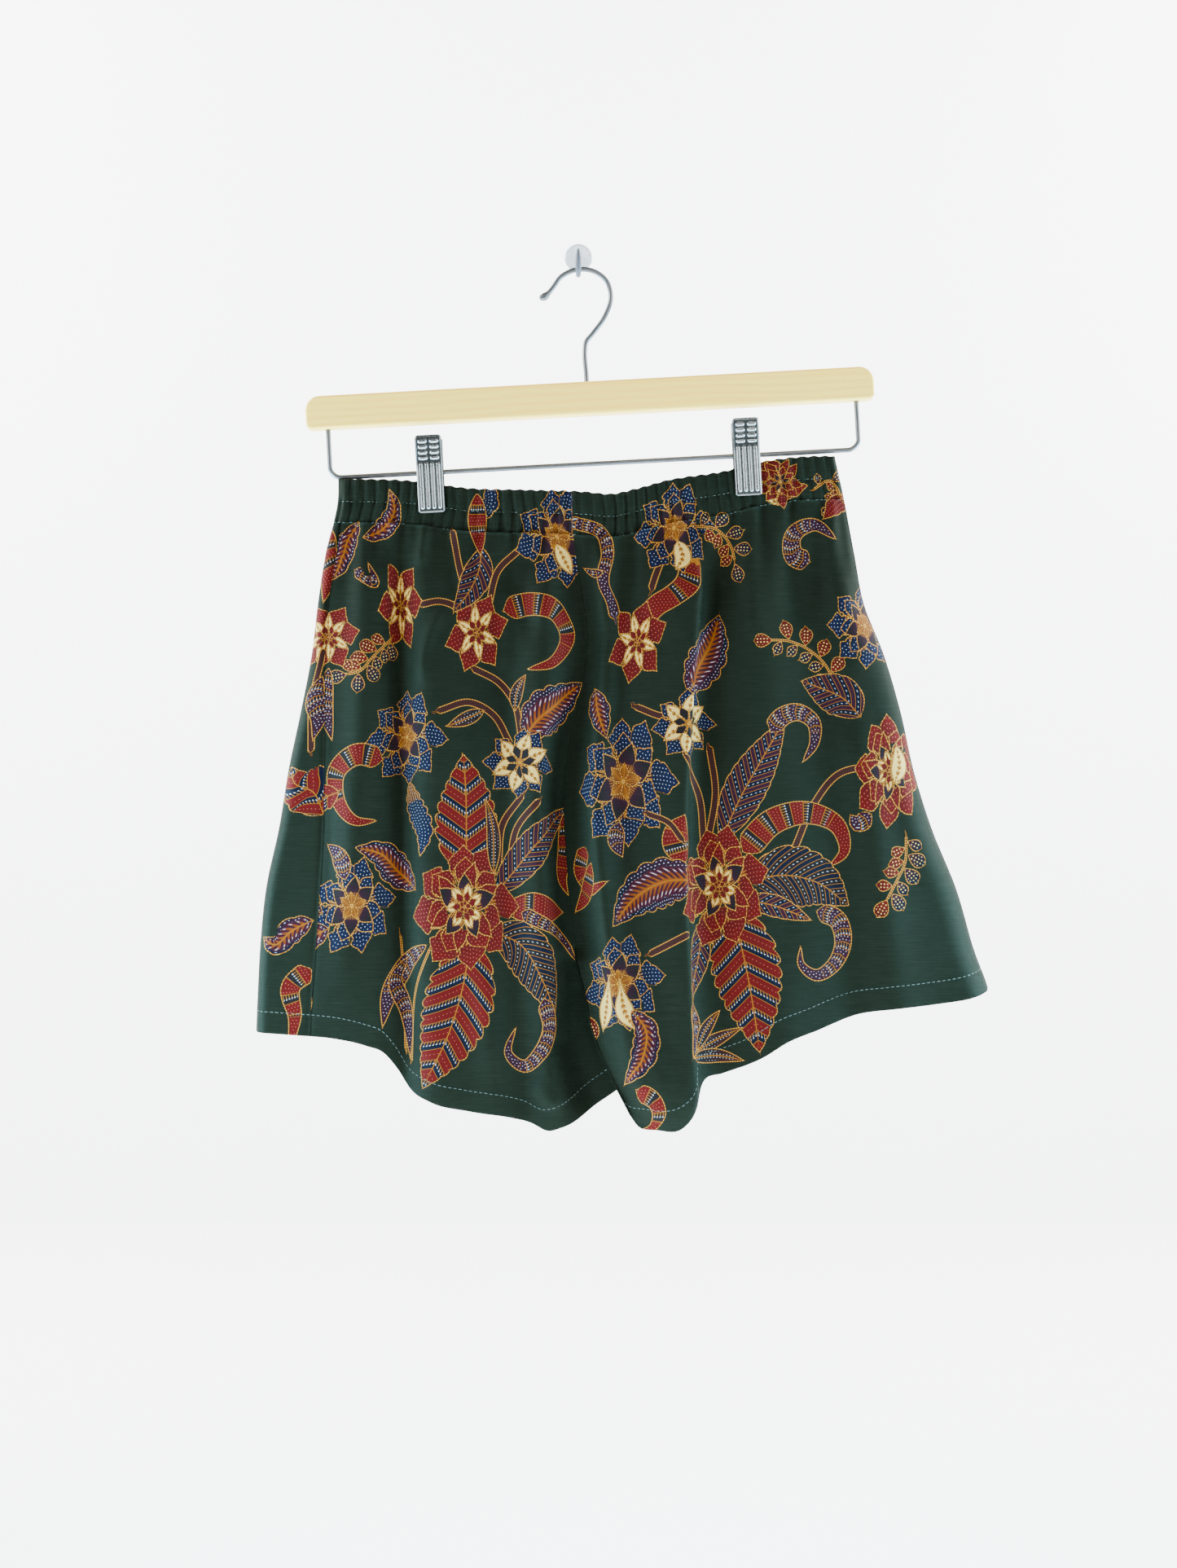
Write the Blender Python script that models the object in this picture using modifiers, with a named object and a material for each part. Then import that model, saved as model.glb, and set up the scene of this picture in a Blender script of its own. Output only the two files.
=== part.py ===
"""Batik wide-leg shorts clipped to a small wooden hanger, which hangs on a round wall hook.

The frame: +Z is up, the wall is the plane Y = 0 and everything lies in front of it at -Y.
The origin is the centre of the wall hook's back face. Sizes here are in millimetres, and
the meshes are written in metres.
"""
import math

import bmesh
import bpy
import numpy as np

MM = 0.001
NAME = "batik_shorts_on_clip_hanger"

# Cloth
CLOTH = 1.2
HEM_CLOTH = 1.9
HEM_TURN = 13.0
CASING_CLOTH = 1.8
CASING_HEIGHT = 26.0
SEAM_GAP = 0.3
GATHERS = 44
GATHER_DEPTH = 0.9
GATHER_COLUMNS = 4
CASING_ROWS = 3
CASING_ROUND = 3.0

# Top edge of the waist, left to right
WAIST_X = (-150, -104, -66, -35, 4, 21, 36, 54, 93, 111, 139, 162)
WAIST_Z = (-140.9, -142.3, -147, -147.8, -149, -150.3, -147.1, -142.2, -135.8, -131.1, -127.3, -126.8)

# Level of each section, its outer edges and the depth of its walls
SECTION_Z = (-127, -152, -187, -218, -248, -287, -320, -357, -395, -433, -458, -485, -540)
LEFT_EDGE = (-149.7, -149.4, -157, -161.6, -165, -172.2, -179, -185, -193, -196.7, -198, -199, -199)
LEFT_SEAM = (-146, -146.5, -150, -155, -156.5, -156.5, -156.5, -157, -159, -161.5, -163.5, -165, -166)
RIGHT_EDGE = (159.5, 165, 171.6, 177.5, 189.2, 200.5, 207.6, 219, 234.3, 245.3, 254, 256, 258)
FRONT_DEPTH_LEFT = (-13.2, -13.4, -17, -20, -23, -26, -28, -29, -30, -31, -31.5, -32, -33)
FRONT_DEPTH_RIGHT = (-13.2, -13.4, -17, -21, -24, -27, -30, -32, -34, -37, -39, -41, -43)
BACK_DEPTH = (-8.2, -8.2, -8, -8, -8, -7.5, -7.5, -7.5, -7.5, -7.5, -7.5, -7.5, -7.5)
SIDE_DEPTH = (-10.7, -10.7, -11, -12, -13, -14, -15, -15.5, -16, -17, -18, -19, -20)

# Centre seams from the casing down to the crotch
CENTRE_Z = (-150, -176, -203, -238, -265, -300, -330, -380, -415, -430)
CENTRE_FRONT_X = (-4, -3, 0.5, 5, 2.5, -4, -8.6, -7, -4, -1.6)
CENTRE_FRONT_Y = (-13.4, -14, -15, -16, -17, -18, -19, -20.5, -21.5, -21.1)
CENTRE_BACK_X = (4, 4, 4, 4, 4, 3, 2, 0, -1.5, -1.6)
CENTRE_BACK_Y = (-8, -8, -8, -8, -8, -8.5, -9, -12, -16, -18.9)
CROTCH_GAP = 0.5

# Inner edge of each leg, from the crotch to the hem
LEG_Z = (-430, -438, -456, -477, -494, -517, -540)
LEFT_LEG_X = (-1.85, -1.85, 6, 14, 20, 30, 32)
LEFT_LEG_Y = (-20, -18.2, -16.5, -17, -18, -20, -21)
RIGHT_LEG_X = (-1.35, -1.35, 3, 7, 13, 24, 36)
RIGHT_LEG_Y = (-20, -23.6, -27, -32, -35, -39, -41)
INSEAM_SPREAD = 2.3

# Hem line, by the place that each point would have on the unfolded front
HEM_X = (-199, -170, -148, -130, -118, -110, -103, -90, -66, -40, -28, -17, -9, 0, 14, 32)
HEM_Z = (-482, -484, -486, -490, -495, -505, -516, -524, -530, -534, -537, -542, -540, -536.7, -527, -515)
HEM_RIGHT_X = (33, 38, 47, 58, 66, 76, 90, 114, 128, 146, 173, 195, 218, 242, 254)
HEM_RIGHT_Z = (-531, -538, -540, -539, -527, -511, -506, -496, -487, -480, -470, -466.6, -464, -460, -456)
BACK_HEM_LIFT = 2.0

# Folds: where the ridge is at the top, middle and hem, how far below the casing it starts,
# the level that it ends at, its height towards the viewer, its half width and its lean in X
FOLD_COLUMNS = ("panel", "x_top", "x_middle", "x_hem", "start", "z_end", "height", "width", "lean")
FOLD_LEVELS = (-560, -360, -150)
FOLDS = (
    ("front_left", -128, -136, -140, 2, -420, 4.0, 11, 0),
    ("front_left", -112, -110, -106, 0, -560, -6.0, 9, 0),
    ("front_left", -94, -88, -84, 10, -560, 3.5, 13, 0),
    ("front_left", -72, -66, -52, 5, -560, 2.5, 12, 2),
    ("front_left", -45, -44, -30, 0, -560, -3.0, 10, 0),
    ("front_left", -24, -26, -17, 8, -560, 5.0, 12, 3),
    ("front_right", 14, 14, 45, 0, -560, 5.5, 10, -2),
    ("front_right", 23, 26, 40, 0, -470, -3.0, 7, 0),
    ("front_right", 62, 48, 56, 0, -560, 7.5, 14, 15),
    ("front_right", 86, 76, 92, 0, -560, -3.5, 12, 0),
    ("front_right", 112, 118, 128, 10, -560, 3.5, 16, 0),
    ("front_right", 142, 158, 178, 6, -560, -3.5, 15, 0),
    ("front_right", 156, 178, 212, 30, -560, 2.5, 14, 0),
    ("back_left", -120, -126, -132, 0, -560, -3.5, 12, 0),
    ("back_left", -84, -86, -90, 4, -560, -2.5, 14, 0),
    ("back_left", -46, -46, -44, 0, -560, -3.5, 12, 0),
    ("back_right", 40, 52, 84, 2, -560, -3.5, 13, 0),
    ("back_right", 84, 96, 128, 0, -560, -3.5, 12, 0),
    ("back_right", 126, 148, 186, 6, -560, -2.5, 14, 0),
)
FOLD_FADE = 45.0
FRONT_COLUMNS = 38
BACK_COLUMNS = 17
RISE_ROWS = 11
LEG_STEPS = (0.13, 0.5, 1.0)
HEM_STEPS = (24.0, HEM_TURN + 0.8, HEM_TURN - 0.8, 0.0)
SIDE_MIDDLE = 0.72
EDGE_COLUMNS = 6
STRIP_COLUMNS = 3
EDGE_ROUND = 7.0
EDGE_SPREAD = 2.2
SEAM_RECESS = 1.5
SEAM_SLOPE = 30.0
FRONT_INNER_SLOPE = 22.0
BACK_INNER_SLOPE = 26.0
LEFT_LEG_TUCK = (0.0, 5.0, 17.0)
LEFT_LEG_TUCK_Z = (-434.0, -454.0, -490.0)

# Hanger, in a frame of its own that is tilted about Y through the bar's centre
TILT = math.radians(3.1)
BAR_CENTRE = (7.0, -10.3, -89.8)
BAR_LENGTH = 353.5
BAR_HEIGHT = 20.5
BAR_THICKNESS = 12.0
BAR_TOP_ROUND = 9.0
BAR_BOTTOM_ROUND = 3.5
BAR_EDGE_ROUND = 1.6
HOOK_WIRE = 3.1
HOOK_HOLE = 3.9
HOOK_DEPTH = 12.0
RAIL_WIRE = 3.0
RAIL_HOLE = 3.7
RAIL_DEPTH = 8.0
RAIL_HALF_WIDTH = 164.6
RAIL_SHIFT = 1.0
RAIL_DROP = 40.5
RAIL_CORNER = 7.0
CLIP_X = (-101.5, 95.5)
CLIP_NAMES = ("left", "right")
CLIP_WIDTH = 16.4
CLIP_HEIGHT = 48.0
CLIP_ABOVE_RAIL = 22.5
CLIP_SHEET = 1.0
CLIP_HALF_GAP = 5.0
CLIP_FLARE = 2.6
RIB_RAISE = 0.7
RIB_WIDTH = 1.9
BARREL_RADIUS = 4.6
BARREL_LENGTH = 14.0
BARREL_BORE = 1.9

# Hook of the hanger: X and Z of its wire, and its radius against the wire's
HOOK_X = (5.6, 4.9, 4.0, 4.6, 8.6, 16.7, 20.2, 18.2, 10.1, -0.3, -10.6, -17.2, -21.2, -23.4)
HOOK_Z = (-90, -74, -60, -54.6, -49.5, -37.9, -26.3, -17.4, -10.6, -9.3, -13.6, -22.2, -26.2, -27.0)
HOOK_TIP_SWELL = 1.45

# Wall hook
DISC_RADIUS = 8.6
DISC_THICKNESS = 2.6
PEG_Y = (-3.0, -4.4, -5.8, -7.4, -10.2, -13.2, -14.4, -14.0, -13.0)
PEG_Z = (-5.0, -5.05, -7.2, -11.0, -12.75, -11.2, -7.0, -1.0, 5.0)
PEG_RADIUS = (1.9, 1.9, 1.7, 1.5, 1.5, 1.5, 1.4, 1.2, 0.8)


def smooth(xs, ys, x):
    """A smooth curve through the points of a table, read at x."""
    xs = np.asarray(xs, float)
    ys = np.asarray(ys, float)
    if xs[0] > xs[-1]:
        xs, ys = xs[::-1], ys[::-1]
    slope = np.gradient(ys, xs)
    x = np.clip(x, xs[0], xs[-1])
    i = np.clip(np.searchsorted(xs, x) - 1, 0, len(xs) - 2)
    span = xs[i + 1] - xs[i]
    t = (x - xs[i]) / span
    rise = ys[i] * (2 * t**3 - 3 * t**2 + 1) + ys[i + 1] * (3 * t**2 - 2 * t**3)
    return rise + span * (slope[i] * (t**3 - 2 * t**2 + t) + slope[i + 1] * (t**3 - t**2))


def ease(t):
    t = np.clip(t, 0.0, 1.0)
    return t * t * (3.0 - 2.0 * t)


def section(table, z):
    return smooth(SECTION_Z, table, z)


def inner_edge(side, front, z):
    """X and Y of a panel's inner edge: the centre seam above the crotch, the inseam below."""
    sign = -1.0 if side == "left" else 1.0
    seam_x = smooth(CENTRE_Z, CENTRE_FRONT_X if front else CENTRE_BACK_X, z)
    seam_y = smooth(CENTRE_Z, CENTRE_FRONT_Y if front else CENTRE_BACK_Y, z)
    near_crotch = ease((z - CENTRE_Z[-1]) / -30 + 1)
    seam_x = seam_x + sign * (SEAM_GAP + (CROTCH_GAP - SEAM_GAP) * near_crotch) / 2
    leg_x = np.interp(-z, [-level for level in LEG_Z], LEFT_LEG_X if side == "left" else RIGHT_LEG_X)
    leg_y = np.interp(-z, [-level for level in LEG_Z], LEFT_LEG_Y if side == "left" else RIGHT_LEG_Y)
    leg_y = leg_y + (-0.5 if front else 0.5) * INSEAM_SPREAD
    below = z < CENTRE_Z[-1]
    return np.where(below, leg_x, seam_x), np.where(below, leg_y, seam_y)


def spaced(count, crowd=0.5):
    """Places from 0 to 1 that crowd towards both ends."""
    even = np.linspace(0.0, 1.0, count)
    return (1.0 - crowd) * even + crowd * (0.5 - 0.5 * np.cos(math.pi * even))


def row_levels(top, hem, share):
    """The level of each row in each column. A share of 0 is the side, 1 the inner edge."""
    side_middle = top + (hem - top) * SIDE_MIDDLE
    middle = side_middle + (CENTRE_Z[-1] - side_middle) * ease(share)
    rise = [top + (middle - top) * t for t in np.linspace(0, 1, RISE_ROWS)]
    leg = [middle + (hem + HEM_STEPS[0] - middle) * t for t in LEG_STEPS]
    turned = [hem + step for step in HEM_STEPS[1:]]
    return np.array(rise + leg + turned)


def side_seam(left):
    """X of the side seam below the casing and at the hem."""
    if left:
        return section(LEFT_SEAM, -167), LEFT_SEAM[-2]
    return section(RIGHT_EDGE, -153), HEM_RIGHT_X[-1]


def side_seam_levels(left):
    """The side seam's two ends: below the casing and at the hem."""
    top_x, hem_x = side_seam(left)
    return casing_foot(top_x), hem_level(left, hem_x)


def hem_inner_x(left):
    return HEM_X[-1] if left else HEM_RIGHT_X[0]


def casing_foot(x):
    return smooth(WAIST_X, WAIST_Z, x) - CASING_HEIGHT - SEAM_GAP


def hem_level(left, x):
    return smooth(HEM_X, HEM_Z, x) if left else smooth(HEM_RIGHT_X, HEM_RIGHT_Z, x)


def fold_shift(panel, x, z):
    """How far the folds move each point of a panel in X and in Y."""
    dx = np.zeros_like(x)
    dy = np.zeros_like(x)
    for fold in FOLDS:
        row = dict(zip(FOLD_COLUMNS, fold))
        if row["panel"] != panel:
            continue
        middle = smooth(FOLD_LEVELS, (row["x_hem"], row["x_middle"], row["x_top"]), z)
        grown = ease((casing_foot(x) - z - row["start"]) / FOLD_FADE)
        left = ease((z - row["z_end"]) / FOLD_FADE)
        bell = np.exp(-(((x - middle) / row["width"]) ** 2)) * grown * left
        dy -= row["height"] * bell
        dx += row["lean"] * bell
    return dx, dy


def front_panel(side):
    """The middle surface of a front panel, as rows from the casing to the hem."""
    left = side == "left"
    a = spaced(FRONT_COLUMNS)
    top_side, hem_side = side_seam(left)
    top_x = top_side + (CENTRE_FRONT_X[1] - top_side) * a
    hem_x = hem_side + (hem_inner_x(left) - hem_side) * a
    z = row_levels(casing_foot(top_x), hem_level(left, hem_x), a)

    side_x = section(LEFT_SEAM if left else RIGHT_EDGE, z[:, :1])
    inner_x, inner_y = inner_edge(side, True, z[:, -1:])
    x = side_x + (inner_x - side_x) * a
    main = section(FRONT_DEPTH_LEFT if left else FRONT_DEPTH_RIGHT, z)
    if left:
        seam_y = main + SEAM_RECESS
        y = main + (seam_y - main) * (1 - ease((x - side_x) / SEAM_SLOPE))
    else:
        turn = np.clip((side_x - x) / (EDGE_SPREAD * EDGE_ROUND), 0, 1)
        y = main + (section(SIDE_DEPTH, z) - SEAM_GAP - main) * (1 - np.sqrt(1 - (1 - turn) ** 2))
    tucked = np.interp(-z, [-level for level in LEFT_LEG_TUCK_Z], LEFT_LEG_TUCK)
    flat = tucked if left else 1.0
    near = 1 - ease((np.abs(x - inner_x) - flat) / FRONT_INNER_SLOPE)
    y = y + (inner_y - y) * near
    dx, dy = fold_shift(f"front_{side}", x, z)
    ends = ease(a / 0.06) * ease((1 - a) / 0.08)
    return np.stack([x + dx * ends, y + dy * ends * (1 - near * 0.8), z], axis=-1)


def edge_plan(left, z):
    """X and Y round the outer edge of a back panel, from the side seam to the back."""
    back_y = section(BACK_DEPTH, z)
    if not left:
        edge_x = section(RIGHT_EDGE, z)
        seam_y = section(SIDE_DEPTH, z) + SEAM_GAP
        turn = np.linspace(0.0, math.pi / 2, EDGE_COLUMNS + STRIP_COLUMNS)
        return edge_x - EDGE_ROUND * (1 - np.cos(turn)), seam_y + (back_y - seam_y) * np.sin(turn)
    edge_x = section(LEFT_EDGE, z)
    front_y = section(FRONT_DEPTH_LEFT, z) + SEAM_RECESS
    seam_x = section(LEFT_SEAM, z) - SEAM_GAP
    half = (back_y - front_y) / 2
    round_x = min(EDGE_ROUND, (seam_x - edge_x) * 0.8)
    strip = np.linspace(seam_x, edge_x + round_x, STRIP_COLUMNS, endpoint=False)
    turn = np.linspace(0.0, math.pi, EDGE_COLUMNS)
    plan_x = np.concatenate([strip, edge_x + round_x * (1 - np.sin(turn))])
    plan_y = np.concatenate([strip * 0 + front_y, front_y + half - half * np.cos(turn)])
    return plan_x, plan_y


def back_panel(side):
    """The middle surface of a back panel. The left one wraps round the edge to the front."""
    left = side == "left"
    wrapped = EDGE_COLUMNS + STRIP_COLUMNS
    share = np.concatenate([np.zeros(wrapped), spaced(BACK_COLUMNS, 0.3)[1:]])
    behind = share > 0
    ends = []
    for level, inner in zip(side_seam_levels(left), (CENTRE_BACK_X[1], hem_inner_x(left))):
        plan_x = edge_plan(left, level)[0]
        flat_x = plan_x[-1] + (inner - plan_x[-1]) * share[wrapped:]
        ends.append(np.concatenate([plan_x, flat_x]))
    tops = casing_foot(ends[0])
    hems = hem_level(left, ends[1]) + BACK_HEM_LIFT * ease(share / 0.1) * ease((1 - share) / 0.1)
    z = row_levels(tops, hems, share)
    rows = []
    for level in z:
        plan_x, plan_y = edge_plan(left, level[0])
        inner_x, inner_y = inner_edge(side, False, level[-1])
        back_y = section(BACK_DEPTH, level[wrapped:])
        flat_x = plan_x[-1] + (inner_x - plan_x[-1]) * share[wrapped:]
        overlap = inner_edge("left", True, level[-1])[0] - inner_x
        stay = 0.0 if left else max(0.0, float(overlap) + 3.0)
        near = 1 - ease((np.abs(flat_x - inner_x) - stay) / BACK_INNER_SLOPE)
        x = np.concatenate([plan_x, flat_x])
        y = np.concatenate([plan_y, back_y + (inner_y - back_y) * near])
        level = level + (casing_foot(x) - tops) * (level - hems) / (tops - hems)
        dx, dy = fold_shift(f"back_{side}", x, level)
        grown = behind * ease(share / 0.15) * (1 - np.concatenate([np.zeros(wrapped), near]))
        rows.append(np.stack([x + dx * grown, y + dy * grown, level], axis=-1))
    return np.array(rows)


def casing(front):
    """The middle surface of half the gathered casing, from its left end to its right end."""
    count = GATHERS * GATHER_COLUMNS + 1
    a = np.linspace(0.0, 1.0, count)
    v = np.linspace(0.0, 1.0, CASING_ROWS)[:, None]
    left_x, right_x = section(LEFT_EDGE, -150), section(RIGHT_EDGE, -133)
    x = left_x + (right_x - left_x) * a + 0 * v
    z = smooth(WAIST_X, WAIST_Z, x) - CASING_HEIGHT * v
    left_now, right_now = section(LEFT_EDGE, z[:, :1]), section(RIGHT_EDGE, z[:, -1:])
    x = left_now + (right_now - left_now) * a
    z = smooth(WAIST_X, WAIST_Z, x) - CASING_HEIGHT * v
    flat_y = FRONT_DEPTH_LEFT[0] if front else BACK_DEPTH[0]
    turn = np.clip(np.minimum(x - left_now, right_now - x) / CASING_ROUND, 0, 1)
    half_wall = (CASING_CLOTH + SEAM_GAP) / 2
    side_y = SIDE_DEPTH[0] - half_wall if front else SIDE_DEPTH[0] + half_wall
    y = flat_y + (side_y - flat_y) * (1 - np.sqrt(1 - (1 - turn) ** 2))
    uneven = 1.0 + 0.25 * np.sin(a * 23.0) + 0.2 * np.sin(a * 57.0 + 1.0)
    wave = np.sin(2 * math.pi * GATHERS * a + 0.6 * np.sin(a * 31.0)) * uneven
    y = y + GATHER_DEPTH * wave * ease(turn) * (0.75 + 0.25 * np.cos(2 * math.pi * v))
    return np.stack([x, y, z], axis=-1)


def material(name, colour, roughness, metallic=0.0):
    made = bpy.data.materials.new(name)
    made.use_nodes = True
    surface = made.node_tree.nodes["Principled BSDF"]
    surface.inputs["Base Color"].default_value = (*colour, 1.0)
    surface.inputs["Roughness"].default_value = roughness
    surface.inputs["Metallic"].default_value = metallic
    return made


def put(obj, collection, finish=None):
    """Moves an object into a collection and gives it its material."""
    for old in list(obj.users_collection):
        old.objects.unlink(obj)
    collection.objects.link(obj)
    if finish is not None:
        obj.data.materials.clear()
        obj.data.materials.append(finish)
    return obj


def sheet(name, grid, thickness, collection, finish, outward, hem=False):
    """A cloth wall: an open surface through the rows of a grid, made solid about its middle."""
    rows, columns = grid.shape[:2]
    mesh = bpy.data.meshes.new(name)
    corners = [
        (r * columns + c, r * columns + c + 1, (r + 1) * columns + c + 1, (r + 1) * columns + c)
        for r in range(rows - 1)
        for c in range(columns - 1)
    ]
    if outward:
        corners = [face[::-1] for face in corners]
    mesh.from_pydata((grid.reshape(-1, 3) * MM).tolist(), [], corners)
    mesh.update()
    mesh.shade_smooth()
    obj = bpy.data.objects.new(name, mesh)
    put(obj, collection, finish)
    solid = obj.modifiers.new("wall", "SOLIDIFY")
    solid.offset = 0.0
    solid.thickness = thickness * MM
    if hem:
        group = obj.vertex_groups.new(name="hem")
        for r in range(rows):
            for c in range(columns):
                above = grid[r, c, 2] - grid[-1, c, 2]
                if above < HEM_TURN:
                    group.add([r * columns + c], 1.0, "REPLACE")
        solid.thickness = HEM_CLOTH * MM
        solid.vertex_group = "hem"
        solid.thickness_vertex_group = thickness / HEM_CLOTH
    return obj


def wire(name, points, radius, collection, finish, swell=None, resolution=2):
    """A round wire along a list of points, with filled ends."""
    curve = bpy.data.curves.new(name, "CURVE")
    curve.dimensions = "3D"
    curve.bevel_depth = radius * MM
    curve.bevel_resolution = resolution
    curve.use_fill_caps = True
    spline = curve.splines.new("POLY")
    spline.points.add(len(points) - 1)
    for i, point in enumerate(points):
        spline.points[i].co = (*(c * MM for c in point), 1.0)
        spline.points[i].radius = 1.0 if swell is None else float(swell[i])
    obj = bpy.data.objects.new(name, curve)
    return put(obj, collection, finish)


def resampled(points, step):
    """Points a step apart on a smooth curve through the given points."""
    points = np.asarray(points, float)
    reach = np.concatenate([[0], np.cumsum(np.linalg.norm(np.diff(points, axis=0), axis=1))])
    places = np.linspace(0, reach[-1], max(3, int(reach[-1] / step) + 1))
    return np.stack([smooth(reach, points[:, k], places) for k in range(points.shape[1])], axis=1)


def tilted(x, y, z):
    """A point of the hanger's own frame in the world."""
    wx = BAR_CENTRE[0] + x * math.cos(TILT) - z * math.sin(TILT)
    wz = BAR_CENTRE[2] + x * math.sin(TILT) + z * math.cos(TILT)
    return wx, BAR_CENTRE[1] + y, wz


def set_in_tilt(obj, x, y, z):
    obj.location = [c * MM for c in tilted(x, y, z)]
    obj.rotation_euler = (0.0, -TILT, 0.0)


def box(name, size, collection, finish=None):
    mesh = bpy.data.meshes.new(name)
    work = bmesh.new()
    bmesh.ops.create_cube(work, size=1.0)
    bmesh.ops.scale(work, vec=[s * MM for s in size], verts=work.verts)
    work.to_mesh(mesh)
    work.free()
    return put(bpy.data.objects.new(name, mesh), collection, finish)


def cylinder(name, radius, length, collection, finish=None, sides=20):
    """A cylinder about its own Z axis."""
    mesh = bpy.data.meshes.new(name)
    work = bmesh.new()
    bmesh.ops.create_cone(
        work, cap_ends=True, segments=sides, radius1=radius * MM, radius2=radius * MM, depth=length * MM
    )
    work.to_mesh(mesh)
    work.free()
    return put(bpy.data.objects.new(name, mesh), collection, finish)


def as_guide(obj):
    obj.hide_render = True
    obj.display_type = "WIRE"


def boolean(obj, other, operation):
    change = obj.modifiers.new(other.name, "BOOLEAN")
    change.operation = operation
    change.object = other
    as_guide(other)


def hanger_bar(parts, cutters, finish):
    """The wooden bar: its front outline, thickened, with its edges rounded and its holes cut."""
    half, low, high = BAR_LENGTH / 2, -BAR_HEIGHT / 2, BAR_HEIGHT / 2
    outline = []
    for sx, sz, radius, start in (
        (1, 1, BAR_TOP_ROUND, 0), (-1, 1, BAR_TOP_ROUND, 90),
        (-1, -1, BAR_BOTTOM_ROUND, 180), (1, -1, BAR_BOTTOM_ROUND, 270),
    ):
        for k in range(6):
            angle = math.radians(start + 18 * k)
            cx = sx * (half - radius)
            cz = (high if sz > 0 else low) - sz * radius
            outline.append((cx + radius * math.cos(angle), cz + radius * math.sin(angle)))
    mesh = bpy.data.meshes.new("hanger_bar")
    work = bmesh.new()
    front = [work.verts.new((x * MM, -BAR_THICKNESS / 2 * MM, z * MM)) for x, z in outline]
    face = work.faces.new(front)
    pushed = bmesh.ops.extrude_face_region(work, geom=[face])["geom"]
    moved = [item for item in pushed if isinstance(item, bmesh.types.BMVert)]
    bmesh.ops.translate(work, verts=moved, vec=(0, BAR_THICKNESS * MM, 0))
    bmesh.ops.recalc_face_normals(work, faces=work.faces)
    work.to_mesh(mesh)
    work.free()
    bar = put(bpy.data.objects.new("hanger_bar", mesh), parts, finish)
    set_in_tilt(bar, 0, 0, 0)
    soften = bar.modifiers.new("edges", "BEVEL")
    soften.width = BAR_EDGE_ROUND * MM
    soften.segments = 2
    soften.limit_method = "ANGLE"
    soften.angle_limit = math.radians(50)
    hook_x = (HOOK_X[0] - BAR_CENTRE[0]) / math.cos(TILT)
    hook_z = (BAR_HEIGHT - HOOK_DEPTH) / 2 + 1
    rail_z = (RAIL_DEPTH - BAR_HEIGHT) / 2 - 1
    places = (
        ("hook_hole", hook_x, hook_z, HOOK_HOLE, HOOK_DEPTH + 2),
        ("rail_hole_left", RAIL_SHIFT - RAIL_HALF_WIDTH, rail_z, RAIL_HOLE, RAIL_DEPTH + 2),
        ("rail_hole_right", RAIL_SHIFT + RAIL_HALF_WIDTH, rail_z, RAIL_HOLE, RAIL_DEPTH + 2),
    )
    for name, x, z, across, deep in places:
        hole = cylinder(name, across / 2, deep, cutters, sides=16)
        set_in_tilt(hole, x, 0, z)
        boolean(bar, hole, "DIFFERENCE")


def hanger_hook(parts, finish):
    """The hook's wire, from its hole in the bar to its swollen tip."""
    points = resampled([(x, BAR_CENTRE[1], z) for x, z in zip(HOOK_X, HOOK_Z)], HOOK_WIRE * 1.7)
    swell = np.ones(len(points))
    swell[-3:] = (1.15, HOOK_TIP_SWELL, 0.8)
    wire("hanger_hook", points, HOOK_WIRE / 2, parts, finish, swell)


def clip_rail(parts, finish):
    """The bent wire that the clips slide on."""
    local = []
    top = -BAR_HEIGHT / 2 + RAIL_DEPTH - 0.5
    for sx in (-1, 1):
        corner_x = sx * (RAIL_HALF_WIDTH - RAIL_CORNER)
        corner_z = -RAIL_DROP + RAIL_CORNER
        arc = [
            (corner_x + sx * RAIL_CORNER * math.cos(t), corner_z - RAIL_CORNER * math.sin(t))
            for t in np.linspace(0, math.pi / 2, 7)
        ]
        leg = [(sx * RAIL_HALF_WIDTH, z) for z in np.linspace(top, -RAIL_DROP + RAIL_CORNER + 1.5, 4)]
        local.append(leg + arc)
    run = local[0] + [(x, -RAIL_DROP) for x in np.linspace(-130, 130, 8)] + local[1][::-1]
    points = [tilted(x + RAIL_SHIFT, 0, z) for x, z in run]
    wire("clip_rail", points, RAIL_WIRE / 2, parts, finish)


def jaw_plate(name, parts, finish, toward):
    """A bent sheet-metal jaw: straight below the barrel, flaring away above it."""
    below = CLIP_HEIGHT - CLIP_ABOVE_RAIL
    levels = np.array([-below, -8.0, 4.0, 12.0, CLIP_ABOVE_RAIL])
    flare = CLIP_FLARE * ease((levels - 2.0) / CLIP_ABOVE_RAIL)
    mesh = bpy.data.meshes.new(name)
    work = bmesh.new()
    half = CLIP_WIDTH / 2
    face_y = toward * (CLIP_HALF_GAP + flare)
    grid = []
    for x in (-half, half):
        grid.append([work.verts.new((x * MM, y * MM, z * MM)) for y, z in zip(face_y, levels)])
    for k in range(len(levels) - 1):
        work.faces.new((grid[0][k], grid[1][k], grid[1][k + 1], grid[0][k + 1]))
    bmesh.ops.recalc_face_normals(work, faces=work.faces)
    work.to_mesh(mesh)
    work.free()
    obj = put(bpy.data.objects.new(name, mesh), parts, finish)
    towards_viewer = np.mean([f.normal.y for f in mesh.polygons]) < 0
    solid = obj.modifiers.new("sheet", "SOLIDIFY")
    solid.thickness = CLIP_SHEET * MM
    solid.offset = 1.0 if towards_viewer == (toward < 0) else -1.0
    return obj


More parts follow.
